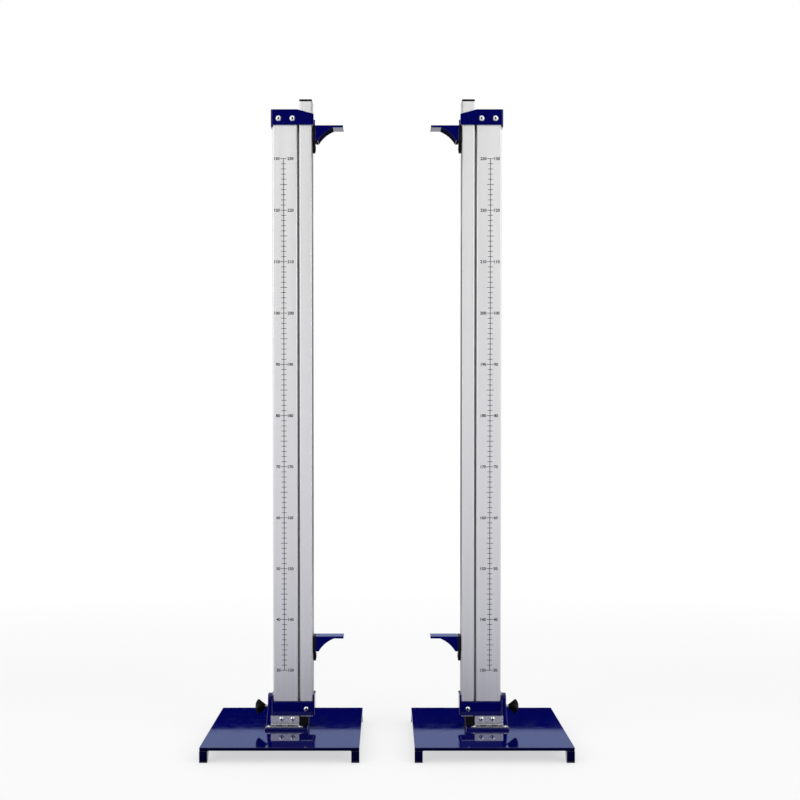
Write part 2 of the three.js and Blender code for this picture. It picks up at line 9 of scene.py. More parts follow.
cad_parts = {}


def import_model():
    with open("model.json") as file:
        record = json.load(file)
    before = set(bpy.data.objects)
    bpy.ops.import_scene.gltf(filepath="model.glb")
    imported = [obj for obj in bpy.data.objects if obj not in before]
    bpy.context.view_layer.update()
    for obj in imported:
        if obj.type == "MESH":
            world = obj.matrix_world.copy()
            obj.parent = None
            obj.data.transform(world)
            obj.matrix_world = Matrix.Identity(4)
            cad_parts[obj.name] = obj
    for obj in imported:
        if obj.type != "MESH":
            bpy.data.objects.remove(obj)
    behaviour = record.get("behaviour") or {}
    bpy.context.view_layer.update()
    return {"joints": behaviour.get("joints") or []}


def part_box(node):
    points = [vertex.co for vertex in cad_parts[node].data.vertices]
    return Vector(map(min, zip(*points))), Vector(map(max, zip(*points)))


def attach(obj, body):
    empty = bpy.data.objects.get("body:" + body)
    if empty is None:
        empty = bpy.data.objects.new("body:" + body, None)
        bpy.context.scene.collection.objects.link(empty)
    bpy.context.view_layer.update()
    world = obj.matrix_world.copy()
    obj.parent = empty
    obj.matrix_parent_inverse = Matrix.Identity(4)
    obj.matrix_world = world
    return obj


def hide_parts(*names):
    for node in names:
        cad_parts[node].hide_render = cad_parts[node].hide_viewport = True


# Looks of a pair of high jump standards. Metres, +Z up, -Y is the front that carries the scale.
# Each piece is drawn for the right-hand standard, from the boxes of its CAD nodes, and mirrored
# for the left-hand one. Threads and the scale's figures are made on each side, so both read true.

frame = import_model()

MM = 0.001
SIDES = {"left": -1, "right": 1}

# Clearances and walls that the boxes don't give
SEAT_GAP = 0.3 * MM
TUBE_WALL = 2 * MM
TUBE_CORNER = 2.5 * MM
SLOT_OPENING = 8 * MM
CHANNEL_WIDTH = 16 * MM
CHANNEL_DEPTH = 7 * MM
SLIDE_GAP = 0.6 * MM
RIB_BELOW_TOP = 52.2 * MM
LIP_ROUND = 0.4 * MM

# Base plate, feet and pad
PLATE_CORNER = 3 * MM
PLATE_EDGE = 0.7 * MM
FOOT_BOTTOM_DEPTH = 13 * MM
FOOT_EDGE = 1 * MM
PAD_THICKNESS = 4 * MM
PAD_CORNER = 2 * MM
PAD_EDGE = 0.5 * MM
LUG_THICKNESS = 8 * MM
LUG_BASE_DEPTH = 40 * MM
LUG_TOP_RADIUS = 12 * MM
LUG_FLARE_HEIGHT = 40 * MM
LUG_EDGE = 2 * MM
WELD_RADIUS = 2.2 * MM
WELD_PITCH = 2.4 * MM
WELD_STEPS = 6
WELD_RIPPLE_SHARE = 0.12
WELD_RESOLUTION = 3

# Hinge
LEAF_THICKNESS = 1.5 * MM
LEAF_CORNER = 1.5 * MM
LEAF_EDGE = 0.3 * MM
BARREL_RADIUS = 3 * MM
PIN_RADIUS = 1.55 * MM
PIN_CROWN = PIN_RADIUS / 3
KNUCKLES = 5
CURL_END = math.radians(238)

# Foot block and socket
BLOCK_EDGE = 0.8 * MM
SPIGOT_HEIGHT = 40 * MM
SOCKET_SHEET = 3.5 * MM
SOCKET_PLATE_HEIGHT = 28.5 * MM
SOCKET_BEND = 4.2 * MM
SOCKET_BEND_STEPS = 4
EAR_RADIUS = 9 * MM
SOCKET_EDGE = 0.7 * MM

# Head clamp
CLAMP_SHEET = 2.5 * MM
CLAMP_SLOPE_DROP = 8.6 * MM
CLAMP_PLATE_HEIGHT = 30 * MM
CLAMP_SIDE_HEIGHT = 34 * MM
CLAMP_BEND = 3.2 * MM
CLAMP_BEND_STEPS = 5
CLAMP_EDGE = 0.5 * MM
BOSS_LENGTH = 7 * MM
BOSS_RADIUS = 10 * MM
BOSS_FILLET = 1.2 * MM
FILLET_MIDDLE_SHARE = 0.3

# Bar rests and mounts
REST_THICKNESS = 4.5 * MM
REST_TIP = 19 * MM
GUSSET_FOOT = 6 * MM
GUSSET_CURVE_SHARE = 0.33
REST_EDGE = 1 * MM
MOUNT_TONGUE_RADIUS = 10 * MM
MOUNT_EDGE = 0.7 * MM
CAP_THICKNESS = 4 * MM
CAP_EDGE = 0.8 * MM

# Screws: driver recess and rounding of the head. The tool that cuts a recess reaches past the head.
TOOL_REACH_SHARE = 2
HEX_ACROSS = 4.2 * MM
HEX_DEPTH_SHARE = 0.6
CROSS_SPAN = 5.4 * MM
CROSS_ARM = 1.4 * MM
CROSS_DEPTH_SHARE = 0.7
RECESS_REACH_SHARE = 0.8
WALL_SLOPE = 0.1
HEAD_RIM_SHARE = 0.25
HEAD_TOP_SHARE = 0.7

# Knobs and their studs
KNOB_LOBES = 5
KNOB_LOBE_DEPTH = 4 * MM
KNOB_HUB_RADIUS = 5 * MM
KNOB_NECK = 5.5 * MM
KNOB_TIP_RADIUS = 2.6 * MM
KNOB_TIP_SHARE = 0.66
KNOB_TIP_START = math.radians(-45)
KNOB_TIP_END = math.radians(60)
KNOB_LOBE_POWER = 1.5
KNOB_DOME_SHARE = 0.55
KNOB_CHAMFER = 0.6 * MM
STUD_RADIUS = 4 * MM
THREAD_PITCH = 1.25 * MM
THREAD_DEPTH = 0.65 * MM
THREAD_STEPS = 6

# Printed scale: distances from the column's outer edge, heights above the floor
SCALE_LOW = 143 * MM
SCALE_STEP = 10 * MM
SCALE_STEPS = 100
LABEL_EVERY = 10
MIDDLE_EVERY = 5
SCALE_AXIS = 22 * MM
FIGURES_FROM_AXIS = 7.6 * MM
FIRST_OUTER = 30
FIRST_INNER = 130
FIGURE_HEIGHT = 6.2 * MM
FIGURE_BOLD_SHARE = 0.035
FIGURE_RESOLUTION = 3
TICK_HALF = 4.8 * MM
MIDDLE_TICK_HALF = 6.6 * MM
LABEL_TICK_HALF = 6.5 * MM
TICK_LINE = 1.1 * MM
AXIS_LINE = 1.3 * MM
INK_DEPTH = 0.08 * MM

# Meshes: facet counts, the angle of a crisp edge, and the axes of an outline and of its depth
CORNER_STEPS = 6
CURVE_STEPS = 24
HALF_CURVE_STEPS = CURVE_STEPS // 2
ROUND_SIDES = 48
LOBE_STEPS = 16
BEVEL_SEGMENTS = 3
SHARP_ANGLE = math.radians(38)
SIDE_SLOPE = 0.5
WELD_TOLERANCE = 0.002 * MM
PLANES = {"xy": (0, 1, 2), "yz": (1, 2, 0), "xz": (0, 2, 1)}

# Textures: the span that noise fills, and the enamel's spread in tone
NOISE_LOW = 0.3
NOISE_HIGH = 0.7
ENAMEL_SPREAD_SHARE = 0.12

FRONT = (0, -1, 0)
BACK = (0, 1, 0)
UP = (0, 0, 1)
OUTWARD = (1, 0, 0)
INWARD = (-1, 0, 0)

Box = namedtuple("Box", "x0 y0 z0 x1 y1 z1")
Look = namedtuple("Look", "material slot")
Knob = namedtuple("Knob", "node body tip way lobe length stud radius")


def box(node):
    """The box of a CAD node on the right-hand standard."""
    low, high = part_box(f"right_{node}")
    return Box(*low, *high)


def joint_at(name):
    """Where a joint of the right-hand standard sits."""
    return next(j["pos_m"] for j in frame["joints"] if j["name"] == f"right_{name}")


# Outlines
def arc(centre, radius, start, end, steps):
    """Points along an arc, both ends included."""
    angles = [start + (end - start) * i / steps for i in range(steps + 1)]
    return [(centre[0] + radius * math.cos(a), centre[1] + radius * math.sin(a)) for a in angles]


def rounded(points, radii, steps=CORNER_STEPS):
    """A closed outline with round corners; radii is one radius, or one for each corner."""
    if not isinstance(radii, (list, tuple)):
        radii = [radii] * len(points)
    outline = []
    for i, (point, radius) in enumerate(zip(points, radii)):
        corner = Vector(point)
        before = (Vector(points[i - 1]) - corner).normalized()
        after = (Vector(points[(i + 1) % len(points)]) - corner).normalized()
        half = before.angle(after) / 2
        middle = corner + (before + after).normalized() * radius / math.sin(half)
        start = corner + before * radius / math.tan(half) - middle
        turn = -(start.angle_signed(corner + after * radius / math.tan(half) - middle))
        for k in range(steps + 1):
            outline.append(tuple(middle + Matrix.Rotation(turn * k / steps, 2) @ start))
    return outline


def bow(start, pull, end, indices, steps):
    """Points of a curve from start to end that bends towards a pull point, at the steps in indices."""
    shares = [i / steps for i in indices]
    return [tuple(start * (1 - t) ** 2 + pull * 2 * t * (1 - t) + end * t**2) for t in shares]


def rectangle(x0, x1, y0, y1):
    return [(x0, y0), (x1, y0), (x1, y1), (x0, y1)]


# Meshes
def stored(bm, mesh=None):
    """What was edited, as a new mesh or back in the old one."""
    if mesh is None:
        mesh = bpy.data.meshes.new("piece")
    bm.to_mesh(mesh)
    bm.free()
    return mesh


def closed(bm):
    """A mesh with its seams joined and its faces turned outwards."""
    bmesh.ops.remove_doubles(bm, verts=bm.verts, dist=WELD_TOLERANCE)
    bmesh.ops.recalc_face_normals(bm, faces=bm.faces)
    return stored(bm)


def opened(mesh):
    bm = bmesh.new()
    bm.from_mesh(mesh)
    return bm


def split_at(bm, level, tolerance=0):
    """Splits every face that crosses a height."""
    everything = [*bm.verts, *bm.edges, *bm.faces]
    where = Vector((0, 0, level))
    bmesh.ops.bisect_plane(bm, geom=everything, dist=tolerance, plane_co=where, plane_no=UP)


def prism(loops, plane, low, high):
    """A closed solid from an outline, and holes if more loops follow, run between two values."""
    order = PLANES[plane]
    bm = bmesh.new()
    ends = [[], []]
    for loop in loops:
        for end, level in zip(ends, (low, high)):
            ring = []
            for u, v in loop:
                point = Vector()
                for axis, value in zip(order, (u, v, level)):
                    point[axis] = value
                ring.append(bm.verts.new(point))
            end.append(ring)
    for near, far in zip(*ends):
        for i in range(len(near)):
            bm.faces.new((near[i - 1], near[i], far[i], far[i - 1]))
    for end in ends:
        if len(end) == 1:
            bm.faces.new(end[0])
            continue
        edges = [bm.edges.get((ring[i - 1], ring[i])) for ring in end for i in range(len(ring))]
        bmesh.ops.triangle_fill(bm, use_beauty=True, edges=edges)
    return closed(bm)


def turned(profile, sides=ROUND_SIDES, radius_at=None):
    """A profile of (radius, height) turned about Z. radius_at bends a ring's radius by angle."""
    bm = bmesh.new()
    rings = []
    for radius, height in profile:
        if radius == 0:
            rings.append([bm.verts.new((0, 0, height))])
            continue
        ring = []
        for k in range(sides):
            angle = 2 * math.pi * k / sides
            reach = radius_at(radius, height, angle) if radius_at else radius
            ring.append(bm.verts.new((reach * math.cos(angle), reach * math.sin(angle), height)))
        rings.append(ring)
    for near, far in zip(rings, rings[1:]):
        for k in range(sides):
            low = [near[k - 1], near[k]] if len(near) > 1 else near
            high = [far[k], far[k - 1]] if len(far) > 1 else far
            if len(low) + len(high) > 2:
                bm.faces.new(low + high)
    return closed(bm)


def aimed(mesh, direction, point, across=UP):
    """Stands a mesh made along +Z on a point, along a direction, its +X turned to another one."""
    up = Vector(direction)
    side = Vector(across)
    if abs(up.dot(side)) > SIDE_SLOPE:
        side = Vector(OUTWARD)
    turn = Matrix((side, up.cross(side), up)).transposed().to_4x4()
    mesh.transform(Matrix.Translation(point) @ turn)
    return mesh


def merged(*meshes):
    """Several meshes as one."""
    bm = bmesh.new()
    for mesh in meshes:
        bm.from_mesh(mesh)
        bpy.data.meshes.remove(mesh)
    return stored(bm)


def evaluated(obj):
    """The mesh of an object with its modifiers, and the object removed."""
    bpy.context.scene.collection.objects.link(obj)
    bpy.context.view_layer.update()
    graph = bpy.context.evaluated_depsgraph_get()
    mesh = bpy.data.meshes.new_from_object(obj.evaluated_get(graph))
    bpy.data.objects.remove(obj)
    return mesh


def cut(mesh, tool_mesh):
    """A mesh less a tool."""
    tool = bpy.data.objects.new("tool", tool_mesh)
    bpy.context.scene.collection.objects.link(tool)
    obj = bpy.data.objects.new("cut", mesh)
    modifier = obj.modifiers.new("cut", "BOOLEAN")
    modifier.operation = "DIFFERENCE"
    modifier.solver = "EXACT"
    modifier.object = tool
    result = evaluated(obj)
    bpy.data.objects.remove(tool)
    return result


def bent_sheet(path, thickness, loop, level):
    """A sheet stood on its edge along a path of (x, y, low, high), thickened to the path's left.

    Its faces are split at a level, so that steps in its edges leave the flat faces clean.
    """
    bm = bmesh.new()
    lines = [(bm.verts.new((x, y, low)), bm.verts.new((x, y, high))) for x, y, low, high in path]
    pairs = zip(lines, lines[1:] + lines[:1]) if loop else zip(lines, lines[1:])
    for (low_a, high_a), (low_b, high_b) in pairs:
        bm.faces.new((low_a, low_b, high_b, high_a))
    split_at(bm, level, WELD_TOLERANCE)
    obj = bpy.data.objects.new("sheet", stored(bm))
    solid = obj.modifiers.new("thickness", "SOLIDIFY")
    solid.thickness = thickness
    solid.offset = -1
    solid.use_even_offset = True
    return evaluated(obj)


def weld_bead(points):
    """A bead of weld along a line, with a ripple for each step of the torch."""
    curve = bpy.data.curves.new("bead", "CURVE")
    curve.dimensions = "3D"
    curve.bevel_depth = WELD_RADIUS
    curve.bevel_resolution = WELD_RESOLUTION
    curve.use_fill_caps = True
    line = []
    for start, end in zip(points, points[1:]):
        start, end = Vector(start), Vector(end)
        steps = max(2, round((end - start).length / WELD_PITCH * WELD_STEPS))
        line += [start.lerp(end, i / steps) for i in range(steps)]
    line.append(Vector(points[-1]))
    spline = curve.splines.new("POLY")
    spline.points.add(len(line) - 1)
    for i, (knot, point) in enumerate(zip(spline.points, line)):
        knot.co = (*point, 1)
        ripple = abs(math.sin(math.pi * i / WELD_STEPS))
        taper = min(1, (min(i, len(line) - 1 - i) + 1) / WELD_STEPS)
        knot.radius = math.sqrt(taper) * (1 - WELD_RIPPLE_SHARE * (1 - ripple))
    return evaluated(bpy.data.objects.new("bead", curve))


# Adding a piece
def soften(obj, width):
    bevel = obj.modifiers.new("edges", "BEVEL")
    bevel.width = width
    bevel.segments = BEVEL_SEGMENTS
    bevel.limit_method = "ANGLE"
    bevel.angle_limit = SHARP_ANGLE
    bevel.harden_normals = True


def shade(mesh):
    """Smooth faces, with the edges that are meant to be crisp marked."""
    bm = opened(mesh)
    for face in bm.faces:
        face.smooth = True
    for edge in bm.edges:
        edge.smooth = not (edge.is_manifold and edge.calc_face_angle(0) > SHARP_ANGLE)
    stored(bm, mesh)


def add(side, name, mesh, look, body, replaced=(), edge=None, mirrored=True):
    """Adds a piece to one standard, riding on its CAD body in place of CAD nodes."""
    if side == "left" and mirrored:
        mesh.transform(Matrix.Diagonal((-1, 1, 1, 1)))
        mesh.flip_normals()
    shade(mesh)
    mesh.materials.clear()
    mesh.materials.append(look.material)
    obj = bpy.data.objects.new(f"{side}_{name}", mesh)
    mesh.name = obj.name
    bpy.context.scene.collection.objects.link(obj)
    if edge:
        soften(obj, edge)
    weighted = obj.modifiers.new("normals", "WEIGHTED_NORMAL")
    weighted.keep_sharp = True
    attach(obj, body if body == "bases" else f"{side}_{body}")
    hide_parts(*(f"{side}_{node}" for node in replaced))
    return obj


# Materials
def new_look(name, slot, color, **sockets):
    """A material with constant values on its shader, ready for its textures."""
    material = bpy.data.materials.new(name)
    material.use_nodes = True
    shader = material.node_tree.nodes["Principled BSDF"]
    shader.inputs["Base Color"].default_value = (*color, 1)
    for socket, value in sockets.items():
        shader.inputs[socket.replace("_", " ")].default_value = value
    return Look(material, slot), material.node_tree, shader


def noise(tree, cells, detail=3):
    """Noise in the piece's own coordinates; cells is their number in a metre, or one for each axis."""
    coordinates = tree.nodes.new("ShaderNodeTexCoord")
    mapping = tree.nodes.new("ShaderNodeMapping")
    mapping.inputs["Scale"].default_value = cells if isinstance(cells, tuple) else (cells, cells, cells)
    texture = tree.nodes.new("ShaderNodeTexNoise")
    texture.inputs["Scale"].default_value = 1
    texture.inputs["Detail"].default_value = detail
    tree.links.new(coordinates.outputs["Object"], mapping.inputs["Vector"])
    tree.links.new(mapping.outputs["Vector"], texture.inputs["Vector"])
    return texture.outputs["Fac"]


def tint(tree, source, low, high, shader):
    """Spreads a texture between two colours of the shader."""
    node = tree.nodes.new("ShaderNodeValToRGB")
    for element, place, color in zip(node.color_ramp.elements, (NOISE_LOW, NOISE_HIGH), (low, high)):
        element.position = place
        element.color = (*color, 1)
    tree.links.new(source, node.inputs["Fac"])
    tree.links.new(node.outputs["Color"], shader.inputs["Base Color"])


def vary(tree, source, low, high, shader):
    """Spreads a texture between two values of the shader's roughness."""
    node = tree.nodes.new("ShaderNodeMapRange")
    node.inputs["From Min"].default_value = NOISE_LOW
    node.inputs["From Max"].default_value = NOISE_HIGH
    node.inputs["To Min"].default_value = low
    node.inputs["To Max"].default_value = high
    tree.links.new(source, node.inputs["Value"])
    tree.links.new(node.outputs["Result"], shader.inputs["Roughness"])


def bump(tree, source, depth, shader, before=None):
    """Raises a surface by a texture, on top of an earlier bump if there is one."""
    node = tree.nodes.new("ShaderNodeBump")
    node.inputs["Strength"].default_value = 1
    node.inputs["Distance"].default_value = depth
    tree.links.new(source, node.inputs["Height"])
    if before:
        tree.links.new(before.outputs["Normal"], node.inputs["Normal"])
    tree.links.new(node.outputs["Normal"], shader.inputs["Normal"])
    return node


def enamel_look(name, navy):
    """Glossy navy enamel with orange peel, a little lighter and darker in broad patches."""
    look, tree, shader = new_look(name, "blue_paint", navy, IOR=1.33)
    low = [(1 - ENAMEL_SPREAD_SHARE) * value for value in navy]
    high = [(1 + ENAMEL_SPREAD_SHARE) * value for value in navy]
    tint(tree, noise(tree, cells=9), low, high, shader)
    vary(tree, noise(tree, cells=40), 0.02, 0.05, shader)
    bump(tree, noise(tree, cells=240, detail=1), 0.002 * MM, shader)
    return look


def anodised_look():
    """Satin anodised aluminium with fine lines along the extrusion."""
    look, tree, shader = new_look("satin_anodised", "anodised_aluminium", (0.8, 0.8, 0.8), Metallic=1)
    shader.inputs["Specular Tint"].default_value = (0.4, 0.4, 0.41, 1)
    streaks = noise(tree, cells=(900, 900, 2.5), detail=4)
    tint(tree, noise(tree, cells=(60, 60, 0.8)), (0.68, 0.677, 0.67), (0.72, 0.717, 0.712), shader)
    vary(tree, streaks, 0.42, 0.52, shader)
    grain = bump(tree, streaks, 0.04 * MM, shader)
    bump(tree, noise(tree, cells=1800, detail=1), 0.01 * MM, shader, before=grain)
    return look


def zinc_look(name, color, low, high, cells, roughness, grain_cells, grain_depth):
    """Bright zinc plate with a faint spangle between two tones."""
    look, tree, shader = new_look(name, "bright_zinc", color, Metallic=1)
    cloud = noise(tree, cells)
    tint(tree, cloud, low, high, shader)
    vary(tree, cloud, *roughness, shader)
    bump(tree, noise(tree, grain_cells, detail=2), grain_depth, shader)
    return look


def recess_shade_look():
    """Painted shade: the inside of a driver recess, drawn near-black."""
    look, tree, shader = new_look("zinc_recess_painted_shade", "bright_zinc", (0.05, 0.05, 0.055), Metallic=1)
    vary(tree, noise(tree, cells=900), 0.4, 0.6, shader)
    return look


def plastic_look():
    """Moulded black plastic with a fine spark-eroded grain."""
    look, tree, shader = new_look("moulded_black", "black_plastic", (0.004, 0.004, 0.0045), IOR=1.17)
    vary(tree, noise(tree, cells=60), 0.4, 0.55, shader)
    bump(tree, noise(tree, cells=2200, detail=2), 0.06 * MM, shader)
    return look


def oxide_look():
    """Black oxide on steel, a little browner where it is thin."""
    look, tree, shader = new_look("black_oxide", "black_steel", (0.003, 0.003, 0.004), IOR=1.2)
    cloud = noise(tree, cells=120)
    tint(tree, cloud, (0.002, 0.002, 0.003), (0.005, 0.0045, 0.0045), shader)
    vary(tree, cloud, 0.3, 0.45, shader)
    bump(tree, noise(tree, cells=700), 0.03 * MM, shader)
    return look


def ink_look():
    """Screen-printed black ink, a little uneven."""
    look, tree, shader = new_look("scale_ink", "anodised_aluminium", (0.012, 0.012, 0.014), Roughness=0.6)
    tint(tree, noise(tree, cells=400), (0.008, 0.008, 0.01), (0.03, 0.03, 0.034), shader)
    return look


enamel = enamel_look("navy_enamel", (0.0012, 0.0016, 0.09))
# A darker copy of the navy enamel: painted shade on the legs, the plate's edges and the brackets' curved
# undersides
painted_shade_enamel = enamel_look("navy_enamel_painted_shade", (0.0012, 0.0012, 0.022))
anodised = anodised_look()
zinc = zinc_look(
    "zinc_plate", (0.7, 0.71, 0.73), low=(0.67, 0.68, 0.7), high=(0.71, 0.72, 0.735),
    cells=240, roughness=(0.24, 0.28), grain_cells=900, grain_depth=0.003 * MM,
)
# Smoother on the heads of the screws than on sheet
screw_zinc = zinc_look(
    "zinc_screw", (0.62, 0.63, 0.65), low=(0.58, 0.59, 0.61), high=(0.65, 0.66, 0.68),
    cells=400, roughness=(0.1, 0.16), grain_cells=1200, grain_depth=0.002 * MM,
)
# Darker on the rolled knuckles and the lower leaf than on the upper one: painted shade on the same zinc
barrel_painted_shade_zinc = zinc_look(
    "zinc_barrel_painted_shade", (0.3, 0.3, 0.33), low=(0.26, 0.26, 0.29), high=(0.33, 0.33, 0.36),
    cells=240, roughness=(0.2, 0.26), grain_cells=900, grain_depth=0.003 * MM,
)
recess_shade_zinc = recess_shade_look()
plastic = plastic_look()
oxide = oxide_look()
ink = ink_look()


# Base
def base_plate(side):
    plate = box("base_plate")
    outline = rounded(rectangle(plate.x0, plate.x1, plate.y0, plate.y1), PLATE_CORNER)
    mesh = prism([outline], "xy", plate.z0, plate.z1)
    obj = add(side, "base_plate_steel", mesh, enamel, "bases", ["base_plate"], PLATE_EDGE)
    # Painted shade: the plate's upright edges take the darker copy of the enamel
    obj.data.materials.append(painted_shade_enamel.material)
    for face in obj.data.polygons:
        face.material_index = int(abs(face.normal.z) < SIDE_SLOPE)


def feet(side):
    for end in ("front", "back"):
        for place in ("inner", "outer"):
            node = f"foot_{end}_{place}"
            foot = box(node)
            face, top = (foot.y0, foot.y1) if end == "front" else (foot.y1, foot.y0)
            bottom = face + math.copysign(FOOT_BOTTOM_DEPTH, top - face)
            outline = [(face, foot.z0), (face, foot.z1), (top, foot.z1), (bottom, foot.z0)]
            mesh = prism([outline], "yz", foot.x0, foot.x1)
            # Painted shade: the legs take the darker copy of the enamel
            add(side, f"{node}_leg", mesh, painted_shade_enamel, "bases", [node], FOOT_EDGE)


def foot_welds(side):
    """Beads where each leg meets the plate, on the two faces that look inwards."""
    plate = box("base_plate")
    centre_x = (plate.x0 + plate.x1) / 2
    beads = []
    for end in ("front", "back"):
        for place in ("inner", "outer"):
            foot = box(f"foot_{end}_{place}")
            near_x, far_x = (foot.x1, foot.x0) if foot.x1 < centre_x else (foot.x0, foot.x1)
            near_y, far_y = (foot.y1, foot.y0) if end == "front" else (foot.y0, foot.y1)
            first_y = far_y + math.copysign(WELD_RADIUS * 2, near_y - far_y)
            corners = [(near_x, first_y), (near_x, near_y), (far_x, near_y)]
            beads.append(weld_bead([(x, y, foot.z1) for x, y in corners]))
    add(side, "foot_welds", merged(*beads), enamel, "bases")


def hinge_pad(side):
    pad = box("hinge_pad")
    outline = rounded(rectangle(pad.x0, pad.x1, pad.y0, pad.y1), PAD_CORNER)
    plate = prism([outline], "xy", pad.z0, pad.z0 + PAD_THICKNESS)
    add(side, "hinge_pad_plate", plate, enamel, "bases", ["hinge_pad"], PAD_EDGE)


def lock_lug(side):
    """The lug that carries the lock screw, flared at its foot and welded to the pad."""
    pad = box("hinge_pad")
    pad_top = pad.z0 + PAD_THICKNESS
    centre_y = (box("column").y0 + box("column").y1) / 2
    inner = box("foot_block").x1 + SEAT_GAP
    outer = inner + LUG_THICKNESS
    half = LUG_BASE_DEPTH / 2
    bottom = pad_top - PAD_THICKNESS / 2
    crown = (centre_y, pad.z1 - LUG_TOP_RADIUS)
    side_view = [(centre_y - half, bottom), (centre_y + half, bottom)]
    side_view += arc(crown, LUG_TOP_RADIUS, 0, math.pi, CURVE_STEPS)
    mesh = prism([side_view], "yz", inner, outer)
    bm = opened(mesh)
    flare_top = bottom + LUG_FLARE_HEIGHT
    split_at(bm, flare_top)
    for vert in bm.verts:
        if vert.co.x > (inner + outer) / 2 and vert.co.z < flare_top:
            share = (flare_top - vert.co.z) / LUG_FLARE_HEIGHT
            vert.co.x += share * (pad.x1 - outer)
    add(side, "lock_lug", stored(bm, mesh), enamel, "bases", edge=LUG_EDGE)

    corners = [(inner + WELD_RADIUS, centre_y - half), (pad.x1 - WELD_RADIUS, centre_y - half)]
    front = [(x, y, pad_top) for x, y in corners]
    back = [(x, 2 * centre_y - y, z) for x, y, z in front]
    add(side, "lug_welds", merged(weld_bead(front), weld_bead(back)), enamel, "bases")


# Hinge
def hinge_axis():
    """The hinge's line in y and z."""
    return joint_at("fold")[1:]


def knuckle(x0, x1, along, towards, tail):
    """A stretch of sheet rolled round the pin, its flat tail running along from the barrel."""
    axis = Vector(hinge_axis())
    inside = BARREL_RADIUS - LEAF_THICKNESS
    turns = [CURL_END * i / CURVE_STEPS for i in range(CURVE_STEPS + 1)]
    outer = [(-BARREL_RADIUS * math.sin(t), BARREL_RADIUS * math.cos(t)) for t in turns]
    inner = [(-inside * math.sin(t), inside * math.cos(t)) for t in reversed(turns)]
    section = [(tail, BARREL_RADIUS), *outer, *inner, (tail, inside)]
    outline = [tuple(axis + Vector(along) * a + Vector(towards) * b) for a, b in section]
    return prism([outline], "yz", x0, x1)


def knuckle_spans(first):
    barrel = box("hinge_upper_leaf")
    pitch = (barrel.x1 - barrel.x0) / KNUCKLES
    starts = [barrel.x0 + i * pitch for i in range(first, KNUCKLES, 2)]
    return [(start + SEAT_GAP / 2, start + pitch - SEAT_GAP / 2) for start in starts]


def hinge(side):
    lower = box("hinge_lower_leaf")
    upper = box("hinge_upper_leaf")
    axis_y, axis_z = hinge_axis()
    reach = BARREL_RADIUS + SEAT_GAP
    flat = rounded(rectangle(lower.x0, lower.x1, lower.y0, axis_y - reach), LEAF_CORNER)
    plate = prism([flat], "xy", lower.z0, lower.z0 + LEAF_THICKNESS)
    # Painted shade: the lower leaf and the knuckles take the darker zinc
    add(side, "lower_leaf_plate", plate, barrel_painted_shade_zinc, "bases", ["hinge_lower_leaf"], LEAF_EDGE)
    rolls = [knuckle(x0, x1, (-1, 0), (0, -1), reach) for x0, x1 in knuckle_spans(0)]
    add(side, "lower_leaf_knuckles", merged(*rolls), barrel_painted_shade_zinc, "bases", edge=LEAF_EDGE)

    tall = rounded(rectangle(upper.x0, upper.x1, axis_z + reach, upper.z1), LEAF_CORNER)
    plate = prism([tall], "xz", upper.y1 - LEAF_THICKNESS, upper.y1)
    add(side, "upper_leaf_plate", plate, zinc, "upright", ["hinge_upper_leaf"], LEAF_EDGE)
    rolls = [knuckle(x0, x1, (0, 1), (1, 0), reach) for x0, x1 in knuckle_spans(1)]
    add(side, "upper_leaf_knuckles", merged(*rolls), barrel_painted_shade_zinc, "upright", edge=LEAF_EDGE)

    pin = box("hinge_pin")
    half = (pin.x1 - pin.x0) / 2
    profile = [(0, -half), (PIN_RADIUS - PIN_CROWN, -half), (PIN_RADIUS, PIN_CROWN - half)]
    profile += [(radius, -height) for radius, height in reversed(profile)]
    middle = ((pin.x0 + pin.x1) / 2, axis_y, axis_z)
    rod = aimed(turned(profile), OUTWARD, middle)
    add(side, "hinge_pin_rod", rod, zinc, "bases", ["hinge_pin"])


# Screws
def head_profile(radius, height):
    """Half a domed head, from its rim on the seat to the middle of its crown."""
    rim = height * HEAD_RIM_SHARE
    steps = CORNER_STEPS * 2
    profile = [(0, 0), (radius, 0)]
    for i in range(steps + 1):
        angle = math.pi / 2 * i / steps
        across = radius * math.cos(angle) if i < steps else 0
        profile.append((across, rim + (height - rim) * math.sin(angle)))
    return profile


def driven_head(radius, height, outline, depth_share):
    """A domed head with a recess for its driver."""
    tool = prism([outline], "xy", height * (1 - depth_share), height * TOOL_REACH_SHARE)
    return cut(turned(head_profile(radius, height)), tool)


def hex_head(radius, height):
    reach = HEX_ACROSS / math.sqrt(3)
    angles = [math.radians(30 + 60 * i) for i in range(6)]
    outline = [(reach * math.cos(a), reach * math.sin(a)) for a in angles]
    return driven_head(radius, height, outline, HEX_DEPTH_SHARE)


def cross_head(radius, height):
    half, arm = CROSS_SPAN / 2, CROSS_ARM / 2
    outline = []
    for turn in range(4):
        matrix = Matrix.Rotation(math.pi / 2 * turn, 2)
        outline += [tuple(matrix @ Vector(point)) for point in ((half, -arm), (half, arm), (arm, arm))]
    return driven_head(radius, height, outline, CROSS_DEPTH_SHARE)


def recess_faces(mesh, radius, height):
    """The faces inside the driver recess of a head made along +Z."""
    floor = height * (1 - max(HEX_DEPTH_SHARE, CROSS_DEPTH_SHARE)) - WELD_TOLERANCE
    found = []
    for face in mesh.polygons:
        wall = abs(face.normal.z) < WALL_SLOPE
        flat = face.normal.z > 1 - WALL_SLOPE and face.center.z < height * HEAD_TOP_SHARE
        inside = face.center.xy.length < radius * RECESS_REACH_SHARE and face.center.z > floor
        if inside and (wall or flat):
            found.append(face.index)
    return found


